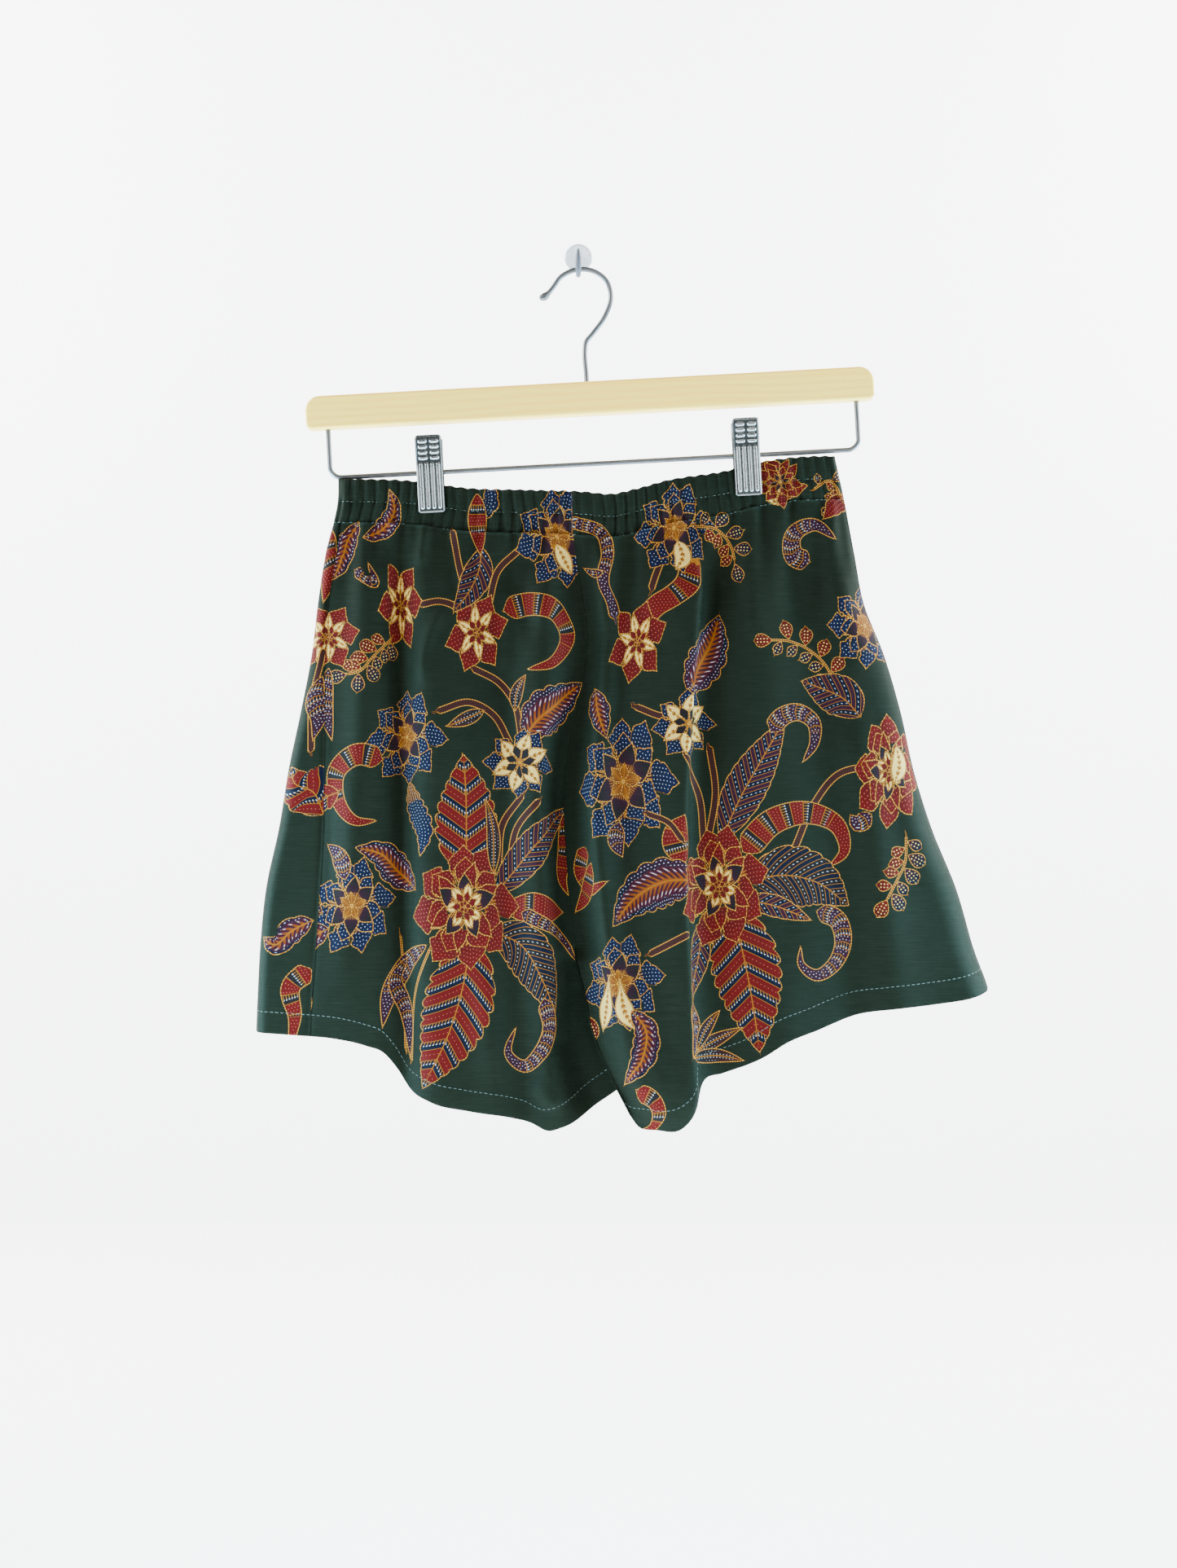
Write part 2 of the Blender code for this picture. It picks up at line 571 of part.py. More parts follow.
def clip(side, x, parts, cutters, finish):
    """A clip: two jaws that hold the casing, and the barrel that turns them on the rail."""
    front = jaw_plate(f"clip_jaw_front_{side}", parts, finish, -1)
    back = jaw_plate(f"clip_jaw_back_{side}", parts, finish, 1)
    for jaw in (front, back):
        set_in_tilt(jaw, x, 0, -RAIL_DROP)
    below = CLIP_HEIGHT - CLIP_ABOVE_RAIL
    rib_y = -CLIP_HALF_GAP - CLIP_SHEET + 0.3 - RIB_RAISE / 2
    pitch = CLIP_WIDTH / 4.4
    for k in range(4):
        rib = box(f"rib_{side}_{k}", (RIB_WIDTH, RIB_RAISE + 0.6, below - 3.0), cutters)
        set_in_tilt(rib, x + (k - 1.5) * pitch, rib_y, -RAIL_DROP - below / 2 - 0.5)
        boolean(front, rib, "UNION")
    for k in range(8):
        column, level = k % 2, k // 2
        z = 5.5 + level * 4.2
        out = CLIP_FLARE * float(ease((z - 2.0) / CLIP_ABOVE_RAIL))
        bar = box(f"grip_{side}_{k}", (5.6, RIB_RAISE + 0.8, 1.7), cutters)
        set_in_tilt(bar, x + (column - 0.5) * 7.4, rib_y - out, -RAIL_DROP + z)
        boolean(front, bar, "UNION")
    barrel = cylinder(f"clip_barrel_{side}", BARREL_RADIUS, BARREL_LENGTH, parts, finish, 20)
    bore = cylinder(f"bore_{side}", BARREL_BORE, BARREL_LENGTH + 4, cutters, sides=12)
    for obj in (barrel, bore):
        obj.location = [c * MM for c in tilted(x, 0, -RAIL_DROP)]
        obj.rotation_euler = (0.0, math.pi / 2 - TILT, 0.0)
    boolean(barrel, bore, "DIFFERENCE")


def wall_hook(parts, clear, grey):
    """The round plate on the wall and the peg that the hanger hangs on."""
    disc = cylinder("wall_hook_plate", DISC_RADIUS, DISC_THICKNESS, parts, clear, 28)
    disc.rotation_euler = (math.pi / 2, 0.0, 0.0)
    disc.location = (0.0, -DISC_THICKNESS / 2 * MM, 0.0)
    soften = disc.modifiers.new("edge", "BEVEL")
    soften.width = 0.7 * MM
    soften.segments = 1
    soften.limit_method = "ANGLE"
    points = resampled([(0.0, y, z, r) for y, z, r in zip(PEG_Y, PEG_Z, PEG_RADIUS)], 2.0)
    wire("wall_hook_peg", points[:, :3], 1.0, parts, grey, points[:, 3], 3)


def main():
    for old in list(bpy.data.objects):
        bpy.data.objects.remove(old)
    parts = bpy.data.collections.new(NAME)
    cutters = bpy.data.collections.new("cutters")
    bpy.context.scene.collection.children.link(parts)
    bpy.context.scene.collection.children.link(cutters)

    batik = material("batik_green", (0.022, 0.05, 0.04), 0.75)
    batik_back = material("batik_green_back", (0.03, 0.055, 0.045), 0.8)
    pine = material("pine", (0.80, 0.66, 0.42), 0.5)
    chrome = material("chrome", (0.75, 0.75, 0.76), 0.18, 1.0)
    clear = material("clear_plastic", (0.78, 0.80, 0.80), 0.2)
    grey = material("grey_plastic", (0.35, 0.37, 0.38), 0.3)

    for side in ("left", "right"):
        front = front_panel(side)
        sheet(f"front_{side}", front, CLOTH, parts, batik, side == "left", hem=True)
        back = back_panel(side)
        sheet(f"back_{side}", back, CLOTH, parts, batik_back, side == "left", hem=True)
    sheet("waist_casing_front", casing(True), CASING_CLOTH, parts, batik, True)
    sheet("waist_casing_back", casing(False), CASING_CLOTH, parts, batik_back, False)

    hanger_bar(parts, cutters, pine)
    hanger_hook(parts, chrome)
    clip_rail(parts, chrome)
    for side, x in zip(CLIP_NAMES, CLIP_X):
        clip(side, x, parts, cutters, chrome)
    wall_hook(parts, clear, grey)


main()
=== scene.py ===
"""Looks of the batik shorts on their clip hanger: cloth, print, stitching, wood, metal, plastic.

Sizes are in millimetres unless a name says otherwise. +Z is up, the wall is the plane Y = 0,
everything lies in front of it at -Y, and the origin is the centre of the wall hook's back face.
"""
import math

import bmesh
import bpy
import numpy as np
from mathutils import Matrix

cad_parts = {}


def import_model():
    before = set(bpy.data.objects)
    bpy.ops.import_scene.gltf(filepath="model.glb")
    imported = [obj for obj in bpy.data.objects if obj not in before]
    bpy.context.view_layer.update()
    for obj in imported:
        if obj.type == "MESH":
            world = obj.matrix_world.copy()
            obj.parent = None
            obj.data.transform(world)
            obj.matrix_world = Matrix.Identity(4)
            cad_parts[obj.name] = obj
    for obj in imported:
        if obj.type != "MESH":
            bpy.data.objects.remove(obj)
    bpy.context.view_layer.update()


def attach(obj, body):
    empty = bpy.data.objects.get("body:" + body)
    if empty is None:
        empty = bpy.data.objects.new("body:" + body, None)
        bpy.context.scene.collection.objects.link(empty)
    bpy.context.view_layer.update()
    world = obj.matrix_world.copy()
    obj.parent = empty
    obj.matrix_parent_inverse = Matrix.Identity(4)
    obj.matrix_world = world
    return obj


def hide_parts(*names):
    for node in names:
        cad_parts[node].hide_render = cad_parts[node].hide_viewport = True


MM = 0.001
BODY = "root"

# Stage, in metres: the floor's and the backdrop's size, place and turn, and each soft light's
# place, size, power and colour
STAGE = (
    ("floor", 6.0, (0, 0, -0.95), (0, 0, 0)),
    ("backdrop", 3.4, (0, 1.9, 0.7), (math.pi / 2, 0, 0)),
)
LIGHTS = (
    ("key_left", (-1.5, -1.05, 0.35), 0.7, 31, (0.96, 0.98, 1.0)),
    ("key_right", (1.5, -1.05, 0.1), 0.7, 20, (0.84, 0.95, 1.0)),
    ("front", (0.3, -2.2, 1.0), 0.9, 21, (1.0, 0.98, 0.94)),
    ("side_left", (-0.50, -0.13, -0.42), 0.3, 17.0, (0.38, 0.74, 1.0)),
    ("side_right", (0.56, -0.14, -0.42), 0.3, 18.0, (0.38, 0.74, 1.0)),
    ("low", (0.02, -0.20, -0.88), 0.4, 9.0, (0.45, 0.80, 1.0)),
    ("wash_left", (-1.6, 0.6, 0.8), 1.6, 260, (1.0, 1.0, 1.0)),
    ("wash_right", (1.6, 0.6, 0.8), 1.6, 260, (1.0, 1.0, 1.0)),
)
SHORTS_AIM = (0.0, -0.02, -0.36)
BACKDROP_AIM = (0.0, 1.9, -0.4)
SKY = (0.95, 0.97, 1.0)
SKY_STRENGTH = 0.2

# View: the photograph's frame in pixels, and the camera's place, lens and sensor
FRAME_PX = (1445, 1925)
CAMERA_AT = (6.3, -1516.3, -329.5)
LENS = 55.55
SENSOR = 36.0
HOOK_PX = (710, 310)
MM_PER_PX = 0.505

# Cloth, and the casing: its rows up the outer face, over the top edge with how far each leans
# inward and rises, and down inside
CLOTH = 0.4
HEM_TURN = 13
HEM_GAP = 0.9
CASING_HALF = 0.95
CASING_HEIGHT = 26.0
SEAM_DIP = 0.7
SEAM_DIP_WIDTH = 1.6
SEAM_START = 6.0
GATHERS = 44
GATHER_DEPTH = 0.9
GATHER_COLUMNS = 10
CASING_ROUND = 3.0
CASING_SPREAD = 0.5
CASING_OUTER_ROWS = 17
CASING_TOP = ((-0.7, 0.7), (0.0, 1.0), (0.7, 0.7))
CASING_INNER_ROWS = 9
PINCH_WIDTH = 0.075
RUFFLE = 0.35

# Top edge of the waist, left to right
WAIST_X = (-150, -104, -66, -35, 4, 21, 36, 54, 93, 111, 139, 162)
WAIST_Z = (-140.9, -142.3, -147, -147.8, -149, -150.3, -147.1, -142.2, -135.8, -131.1, -127.3, -126.8)

# Level of each section, its outer edges and the depth of its walls
SECTION_Z = (-127, -152, -187, -218, -248, -287, -320, -357, -395, -433, -458, -485, -540)
LEFT_EDGE = (-149.7, -149.4, -157, -161.6, -165, -172.2, -179, -185, -193, -196.7, -198, -199, -199)
LEFT_SEAM = (-146, -146.5, -150, -155, -156.5, -156.5, -156.5, -157, -159, -161.5, -163.5, -165, -166)
RIGHT_EDGE = (159.5, 165, 171.6, 177.5, 189.2, 200.5, 207.6, 219, 234.3, 245.3, 254, 256, 258)
FRONT_DEPTH_LEFT = (-13.2, -13.4, -17, -20, -23, -26, -28, -29, -30, -31, -31.5, -32, -33)
FRONT_DEPTH_RIGHT = (-13.2, -13.4, -17, -21, -24, -27, -30, -32, -34, -37, -39, -41, -43)
BACK_DEPTH = (-8.2, -8.2, -8, -8, -8, -7.5, -7.5, -7.5, -7.5, -7.5, -7.5, -7.5, -7.5)
SIDE_DEPTH = (-10.7, -10.7, -11, -12, -13, -14, -15, -15.5, -16, -17, -18, -19, -20)

# Centre seams from the casing down to the crotch
CENTRE_Z = (-150, -176, -203, -238, -265, -300, -330, -380, -415, -430)
CENTRE_FRONT_X = (-4, -3, 0.5, 5, 2.5, -4, -8.6, -7, -4, -1.6)
CENTRE_FRONT_Y = (-13.4, -14, -15, -16, -17, -18, -19, -20.5, -21.5, -21.1)
CENTRE_BACK_X = (4, 4, 4, 4, 4, 3, 2, 0, -1.5, -1.6)
CENTRE_BACK_Y = (-8, -8, -8, -8, -8, -8.5, -9, -12, -16, -18.9)

# Inner edge of each leg, from the crotch to the hem
LEG_Z = (-430, -438, -456, -477, -494, -517, -540)
LEFT_LEG_X = (-1.1, -1.1, 6, 14, 20, 30, 32)
LEFT_LEG_Y = (-20, -18.2, -16.5, -17, -18, -20, -21)
RIGHT_LEG_X = (-2.1, -2.1, 3, 7, 13, 24, 36)
RIGHT_LEG_Y = (-20, -23.6, -27, -32, -35, -39, -41)
INSEAM_SPREAD = 0.8

# Hem line, by the place that each point would have on the unfolded front
HEM_X = (-199, -170, -148, -130, -118, -110, -103, -90, -66, -40, -28, -17, -9, 0, 14, 32)
HEM_Z = (-482, -484, -486, -490, -495, -505, -516, -524, -530, -534, -537, -542, -540, -536.7, -527, -515)
HEM_RIGHT_X = (33, 38, 47, 58, 66, 76, 90, 114, 128, 146, 173, 195, 218, 242, 254)
HEM_RIGHT_Z = (-531, -538, -540, -539, -527, -511, -506, -496, -487, -480, -470, -466.6, -464, -460, -456)
BACK_HEM_LIFT = 2.0

# Folds: where the ridge is at the top, middle and hem, how far below the casing it starts,
# the level that it ends at, its height towards the viewer, its half width and its lean in X
FOLD_COLUMNS = ("panel", "x_top", "x_middle", "x_hem", "start", "z_end", "height", "width", "lean")
FOLD_LEVELS = (-560, -360, -150)
FOLDS = (
    ("front_left", -128, -136, -140, 2, -420, 4.0, 11, 0),
    ("front_left", -112, -110, -106, 0, -560, -6.0, 9, 0),
    ("front_left", -94, -88, -84, 10, -560, 3.5, 13, 0),
    ("front_left", -72, -66, -52, 5, -560, 2.5, 12, 2),
    ("front_left", -45, -44, -30, 0, -560, -3.0, 10, 0),
    ("front_left", -24, -26, -17, 8, -560, 5.0, 12, 3),
    ("front_right", 14, 14, 45, 0, -560, 5.5, 10, -2),
    ("front_right", 23, 26, 40, 0, -470, -3.0, 7, 0),
    ("front_right", 62, 48, 56, 0, -560, 7.5, 14, 15),
    ("front_right", 86, 76, 92, 0, -560, -3.5, 12, 0),
    ("front_right", 112, 118, 128, 10, -560, 3.5, 16, 0),
    ("front_right", 142, 158, 178, 6, -560, -3.5, 15, 0),
    ("front_right", 156, 178, 212, 30, -560, 2.5, 14, 0),
    ("back_left", -120, -126, -132, 0, -560, -3.5, 12, 0),
    ("back_left", -84, -86, -90, 4, -560, -2.5, 14, 0),
    ("back_left", -46, -46, -44, 0, -560, -3.5, 12, 0),
    ("back_right", 40, 52, 84, 2, -560, -3.5, 13, 0),
    ("back_right", 84, 96, 128, 0, -560, -3.5, 12, 0),
    ("back_right", 126, 148, 186, 6, -560, -2.5, 14, 0),
)
FOLD_FADE = 45.0
FRONT_COLUMNS = 104
BACK_COLUMNS = 88
RISE_ROWS = 112
LEG_ROWS = 34

# Heights of the rows above the hem's edge, the stitched one among them, and the rows that are
# turned up inside, with how far each stands off
HEM_HEIGHTS = (24, 20.5, 17, 14.2, 13, 11.6, 9, 6, 3.2, 1.2, 0.35, 0)
TURNED_ROWS = ((0.35, 0.45), (1.2, 0.8), (3.2, 1.0), (6, 1.0), (9, 1.0), (13, 1.0))
SIDE_MIDDLE = 0.72
EDGE_COLUMNS = 14
STRIP_COLUMNS = 14
EDGE_ROUND = 7.0
EDGE_SPREAD = 2.2
SEAM_RECESS = 1.5
SEAM_SLOPE = 30.0
FRONT_INNER_SLOPE = 22.0
BACK_INNER_SLOPE = 26.0
LEFT_LEG_TUCK = (0.0, 5.0, 17.0)
LEFT_LEG_TUCK_Z = (-434.0, -454.0, -490.0)

# Puckers under the casing, short and longer, and slight waves all over: their height, wavelength
# over two pi, and how far below the casing the puckers have faded and the waves have grown
RIPPLE = (0.8, 1.55, 11.0)
WAVE = (1.4, 3.1, 34.0)
BROAD = (0.6, 13.0, 40.0)
BACK_PUCKERS = 0.7

CREASE_GROWTH = 1.9
# Creases of the front, as seen: pixels along each one, its height towards the viewer and its
# half width
CREASES = (
    (((478, 680), (477, 740), (480, 810)), 1.5, 6),
    (((492, 690), (494, 900), (497, 1100), (500, 1330)), -1.6, 5),
    (((524, 645), (518, 670), (515, 698)), 1.1, 3.5),
    (((547, 738), (524, 787), (519, 808), (521, 845)), 1.2, 4),
    (((560, 650), (556, 690), (560, 745)), -0.9, 4),
    (((590, 648), (596, 700), (592, 760)), 0.9, 5),
    (((620, 700), (622, 770), (616, 840)), 1.3, 6),
    (((650, 655), (646, 720), (652, 800)), -1.0, 5),
    (((676, 652), (672, 700), (664, 780)), 0.9, 5),
    (((704, 659), (711, 713), (715, 746), (721, 782)), -1.3, 4),
    (((697, 800), (700, 1000), (704, 1180)), -1.2, 6),
    (((732, 652), (738, 700), (744, 780)), 1.2, 5),
    (((752, 740), (748, 800), (745, 880)), 1.3, 5),
    (((775, 645), (778, 690), (772, 760)), -0.9, 5),
    (((800, 640), (806, 700), (800, 770)), 0.9, 5),
    (((884, 640), (878, 700), (866, 790)), -1.1, 6),
    (((915, 640), (922, 710), (930, 800)), 0.9, 8),
    (((960, 640), (968, 700), (985, 780)), -0.8, 7),
    (((1010, 625), (1020, 690), (1040, 780)), 0.8, 8),
    (((800, 1280), (810, 1315), (822, 1350)), 1.2, 4),
    (((655, 1325), (668, 1345), (690, 1362)), 0.9, 4),
    (((590, 1180), (600, 1260), (605, 1330)), 0.9, 9),
    (((940, 900), (955, 1060), (965, 1230)), -0.9, 10),
    (((1040, 860), (1075, 1020), (1100, 1180)), 0.9, 12),
    (((430, 900), (424, 1060), (420, 1240)), 0.9, 9),
)

# Hanger, in a frame of its own that is tilted about Y through the bar's centre
TILT = math.radians(3.1)
BAR_CENTRE = (7.0, -10.3, -89.8)
BAR_LENGTH = 353.5
BAR_HEIGHT = 20.5
BAR_THICKNESS = 12.0
BAR_TOP_ROUND = 9.0
BAR_BOTTOM_ROUND = 3.5
BAR_EDGE_ROUND = 1.6
HOOK_WIRE = 3.1
RAIL_WIRE = 3.0
RAIL_DEPTH = 8.0
RAIL_HALF_WIDTH = 164.6
RAIL_SHIFT = 1.0
RAIL_DROP = 40.5
RAIL_CORNER = 7.0
RAIL_STRAIGHT = 150
RAIL_SUNK = 0.5
CLIP_X = (-101.5, 95.5)
CLIP_NAMES = ("left", "right")
CLIP_WIDTH = 16.4
CLIP_HEIGHT = 48.0
CLIP_ABOVE_RAIL = 22.5
CLIP_SHEET = 1.0
CLIP_HALF_GAP = 5.0
CLIP_FLARE = 2.6

# Springs of the clips: each arm ends a gap from its jaw, at a level below the rail
SPRING_RADIUS = 3.6
SPRING_WIRE = 1.1
SPRING_TURNS = 5.5
SPRING_LENGTH = CLIP_WIDTH - 4.0
SPRING_ARM = (0.7, -9.0)

# Sheet metal of the clips: the mesh of a pressed and a plain jaw, its corners and rolled rim, the
# ribs between two levels, the two columns of grips above the rail, and the ears on its sides
JAW_MESH = (0.36, 0.9)
JAW_CORNER = 2.0
JAW_RIM = (1.2, 0.5)
RIB_RAISE = 0.75
RIB_WIDTH = 1.7
RIBS = 4
RIB_PITCH = CLIP_WIDTH / 4.6
RIB_TOP = 5.2
RIB_FOOT = CLIP_ABOVE_RAIL - CLIP_HEIGHT + 2.4
RIB_ROUND = 0.9
GRIPS = 8
GRIP_APART = 7.2
GRIP_LOW = 8.4
GRIP_PITCH = 3.4
GRIP_HALF = 1.7
GRIP_ROUND = 0.85
PRESS_SLOPE = 0.6
EAR_INSET = 0.9
EAR_HALF = 0.4
EAR_NOSE = (2.6, 3.4)
EAR_ENDS = ((CLIP_HALF_GAP + 0.7, 5.2), (CLIP_HALF_GAP + 0.5, -7.0))
EAR_SHARP = 1.0
EAR_BEVEL = 0.15

# Rounded end of a wire: its length against its radius, and where its rings are
DOME_LENGTH = 0.6
DOME_STEPS = (0.0, 0.35, 0.7)

# Hook: X and Z of its wire, and its radius against the wire's
HOOK_X = (5.6, 4.9, 4.0, 4.6, 8.6, 16.7, 20.2, 18.2, 10.1, -0.3, -10.6, -17.2, -21.2, -23.4)
HOOK_Z = (-90, -74, -60, -54.6, -49.5, -37.9, -26.3, -17.4, -10.6, -9.3, -13.6, -22.2, -26.2, -27.0)
HOOK_TIP_SWELL = 1.45

# Wall hook
DISC_RADIUS = 8.6
DISC_THICKNESS = 2.6
DISC_PROFILE = (
    (0.0, 0.0), (DISC_RADIUS - 0.5, 0.0), (DISC_RADIUS, -0.4), (DISC_RADIUS, -1.5),
    (DISC_RADIUS - 0.25, -2.0), (DISC_RADIUS - 0.9, -2.35), (DISC_RADIUS - 2.0, -2.5),
    (0.0, -DISC_THICKNESS),
)
PEG_Y = (-2.4, -4.4, -5.8, -7.4, -10.2, -13.2, -14.5, -14.5, -14.0)
PEG_Z = (-5.0, -5.05, -7.2, -11.0, -12.75, -11.2, -7.0, -2.0, 2.6)
PEG_RADIUS = (1.9, 1.9, 1.7, 1.5, 1.5, 1.7, 1.95, 1.9, 0.8)

# Sewing
STITCH_PITCH = 3.2
STITCH_LENGTH = 2.3
STITCH_WIDTH = 0.34
CASING_STITCHES = (0.5, 0.97)

# Print: the layers that a face of cloth can carry, how far past its outline a motif is laid, the
# number that a ring adds to its style's, the steps and the largest number of the shader's table
# of styles, and a distance that is longer than any motif
LAYERS = 4
MARGIN = 1.7
RING_FROM = 32
STYLE_SLOTS = 21
STYLE_RANGE = 16.0
ALWAYS = 1000.0

# Marks of the print, in millimetres: rows of dots, the teeth of a comb, the beads of an outline,
# the fingers of a leaf's core, the outline itself and the ink inside it. The first band is a
# share of its period
BAND_SHARE = 0.56
BAND_DOTS = 0.27
DOT_PITCH = 2.0
TOOTH_PITCH = 1.7
TOOTH_LENGTH = 2.6
TOOTH_DROP = 2.8
FINGER_PITCH = 3.4
BEAD_PITCH = 1.5
OUTLINE = 0.58
INK_EDGE = 0.8
WEAVE_PITCH = 0.42

# Styles of the print, by number, in the shader's linear colours: the fill and every second band
# or the tip, the dots and the core. Then whether it has bands, how they slant, their period, how
# far the outline is scalloped, the core's share of the width, the dots' radius, the vein, the
# share of the length that is hatched from the base, and whether every second band has a comb
(
    CHEVRON, FERN, BANDED, STEM, BLUE, RED, CREAM, BERRY, LINE,
    DUSK, FEATHER, SEED, CALYX, LEAF, SPRAY, GILT, DARK, BUD,
) = range(1, 19)
GOLD = (0.205, 0.066, 0.002)
BEAD = (0.50, 0.25, 0.045)
CRIMSON = (0.044, 0.0006, 0.0010)
CARMINE = (0.066, 0.0007, 0.0010)
NAVY = (0.0012, 0.0013, 0.0080)
BLUEBELL = (0.0018, 0.0026, 0.0160)
PLUM = (0.016, 0.0014, 0.0075)
OCHRE = (0.14, 0.030, 0.001)
IVORY = (0.50, 0.31, 0.075)
PINK_DOT = (0.30, 0.072, 0.036)
WHITE_DOT = (0.30, 0.30, 0.32)
BROWN = (0.022, 0.0045, 0.004)
INK = (0.006, 0.003, 0.004)
STYLE_COLUMNS = (
    "fill", "second", "dot", "core",
    "banded", "slope", "period", "lobe", "core_share", "dot_size", "vein", "hatch", "comb",
)
STYLES = {
    CHEVRON: (CARMINE, NAVY, PINK_DOT, GOLD, 1, 0.75, 14.0, 0.12, 0.0, 0.24, 1, 0.0, 1),
    FERN: (PLUM, NAVY, WHITE_DOT, OCHRE, 0, 0.0, 15.0, 0.14, 0.58, 0.30, 1, 0.0, 0),
    BANDED: (CARMINE, INK, PINK_DOT, GOLD, 1, 0.0, 13.0, 0.0, 0.0, 0.25, 0, 0.0, 1),
    STEM: (BROWN, BROWN, INK, INK, 0, 0.0, 10.0, 0.0, 0.0, 0.0, 0, 0.0, 0),
    BLUE: (NAVY, BLUEBELL, WHITE_DOT, GOLD, 0, 0.0, 6.0, 0.22, 0.0, 0.24, 0, 0.25, 0),
    RED: (CRIMSON, CARMINE, PINK_DOT, GOLD, 0, 0.0, 7.0, 0.14, 0.0, 0.23, 0, 0.25, 0),
    CREAM: (IVORY, IVORY, IVORY, OCHRE, 0, 0.0, 10.0, 0.0, 0.26, 0.0, 1, 0.0, 0),
    BERRY: (CARMINE, CRIMSON, IVORY, GOLD, 0, 0.0, 10.0, 0.0, 0.0, 0.42, 0, 0.0, 0),
    LINE: (GOLD, GOLD, INK, INK, 0, 0.0, 10.0, 0.0, 0.0, 0.0, 0, 0.0, 0),
    DUSK: (PLUM, NAVY, WHITE_DOT, INK, 1, 0.3, 8.0, 0.0, 0.0, 0.28, 0, 0.0, 1),
    FEATHER: (NAVY, PLUM, WHITE_DOT, INK, 1, 1.1, 8.4, 0.05, 0.0, 0.34, 1, 0.0, 0),
    SEED: (CARMINE, CRIMSON, IVORY, INK, 0, 0.0, 10.0, 0.0, 0.0, 0.34, 0, 0.0, 0),
    CALYX: (PLUM, INK, INK, GOLD, 0, 0.0, 10.0, 0.0, 0.0, 0.0, 0, 0.3, 0),
    LEAF: (INK, BROWN, WHITE_DOT, INK, 0, 0.0, 10.0, 0.0, 0.0, 0.28, 1, 0.0, 0),
    BUD: (PLUM, NAVY, IVORY, GOLD, 0, 0.0, 10.0, 0.0, 0.0, 0.42, 0, 0.0, 0),
    DARK: (INK, INK, INK, INK, 0, 0.0, 10.0, 0.0, 0.0, 0.0, 0, 0.0, 0),
    GILT: (OCHRE, GOLD, INK, BROWN, 0, 0.0, 10.0, 0.0, 0.0, 0.0, 1, 0.7, 0),
    SPRAY: (INK, NAVY, WHITE_DOT, INK, 1, 1.0, 8.6, 0.08, 0.0, 0.34, 1, 0.0, 0),
}

# Flowers: for each ring from the outside in, its style, petals, their width against the room
# that they have, the outer and inner share of the radius, and its turn as a share of a petal
FLOWERS = {
    "peony": (
        (RED, 8, 1.0, 1.05, 0.42, 0.0),
        (RED, 7, 1.0, 0.82, 0.30, 0.5),
        (RED, 6, 0.5, 0.70, 0.20, 0.2),
        (CALYX, 5, 0.5, 0.60, 0.16, 0.1),
        (CREAM, 7, 0.6, 0.40, 0.16, 0.3),
        (RED, 7, 0.9, 0.30, 0.04, 0.2),
        (SEED, 5, 0.9, 0.13, 0.0, 0.0),
    ),
    "dahlia": (
        (RED, 9, 0.95, 1.0, 0.30, 0.0),
        (RED, 7, 0.9, 0.72, 0.12, 0.5),
        (CALYX, 6, 0.6, 0.42, 0.0, 0.2),
    ),
    "lotus": (
        (BLUE, 8, 1.0, 1.0, 0.34, 0.0),
        (BLUE, 7, 0.95, 0.76, 0.22, 0.5),
        (CALYX, 6, 0.75, 0.56, 0.10, 0.2),
        (GILT, 5, 0.75, 0.34, 0.0, 0.0),
    ),
    "star_red": (
        (RED, 6, 1.0, 1.04, 0.14, 0.0),
        (CREAM, 6, 0.48, 0.72, 0.16, 0.5),
        (RED, 7, 0.9, 0.44, 0.04, 0.2),
        (SEED, 5, 0.9, 0.15, 0.0, 0.0),
    ),
    "star_cream": (
        (BLUE, 8, 0.98, 1.0, 0.30, 0.0),
        (CREAM, 6, 0.62, 0.76, 0.20, 0.3),
        (DARK, 7, 1.2, 0.52, 0.0, 0.0),
        (GILT, 7, 0.6, 0.22, 0.0, 0.5),
    ),
}

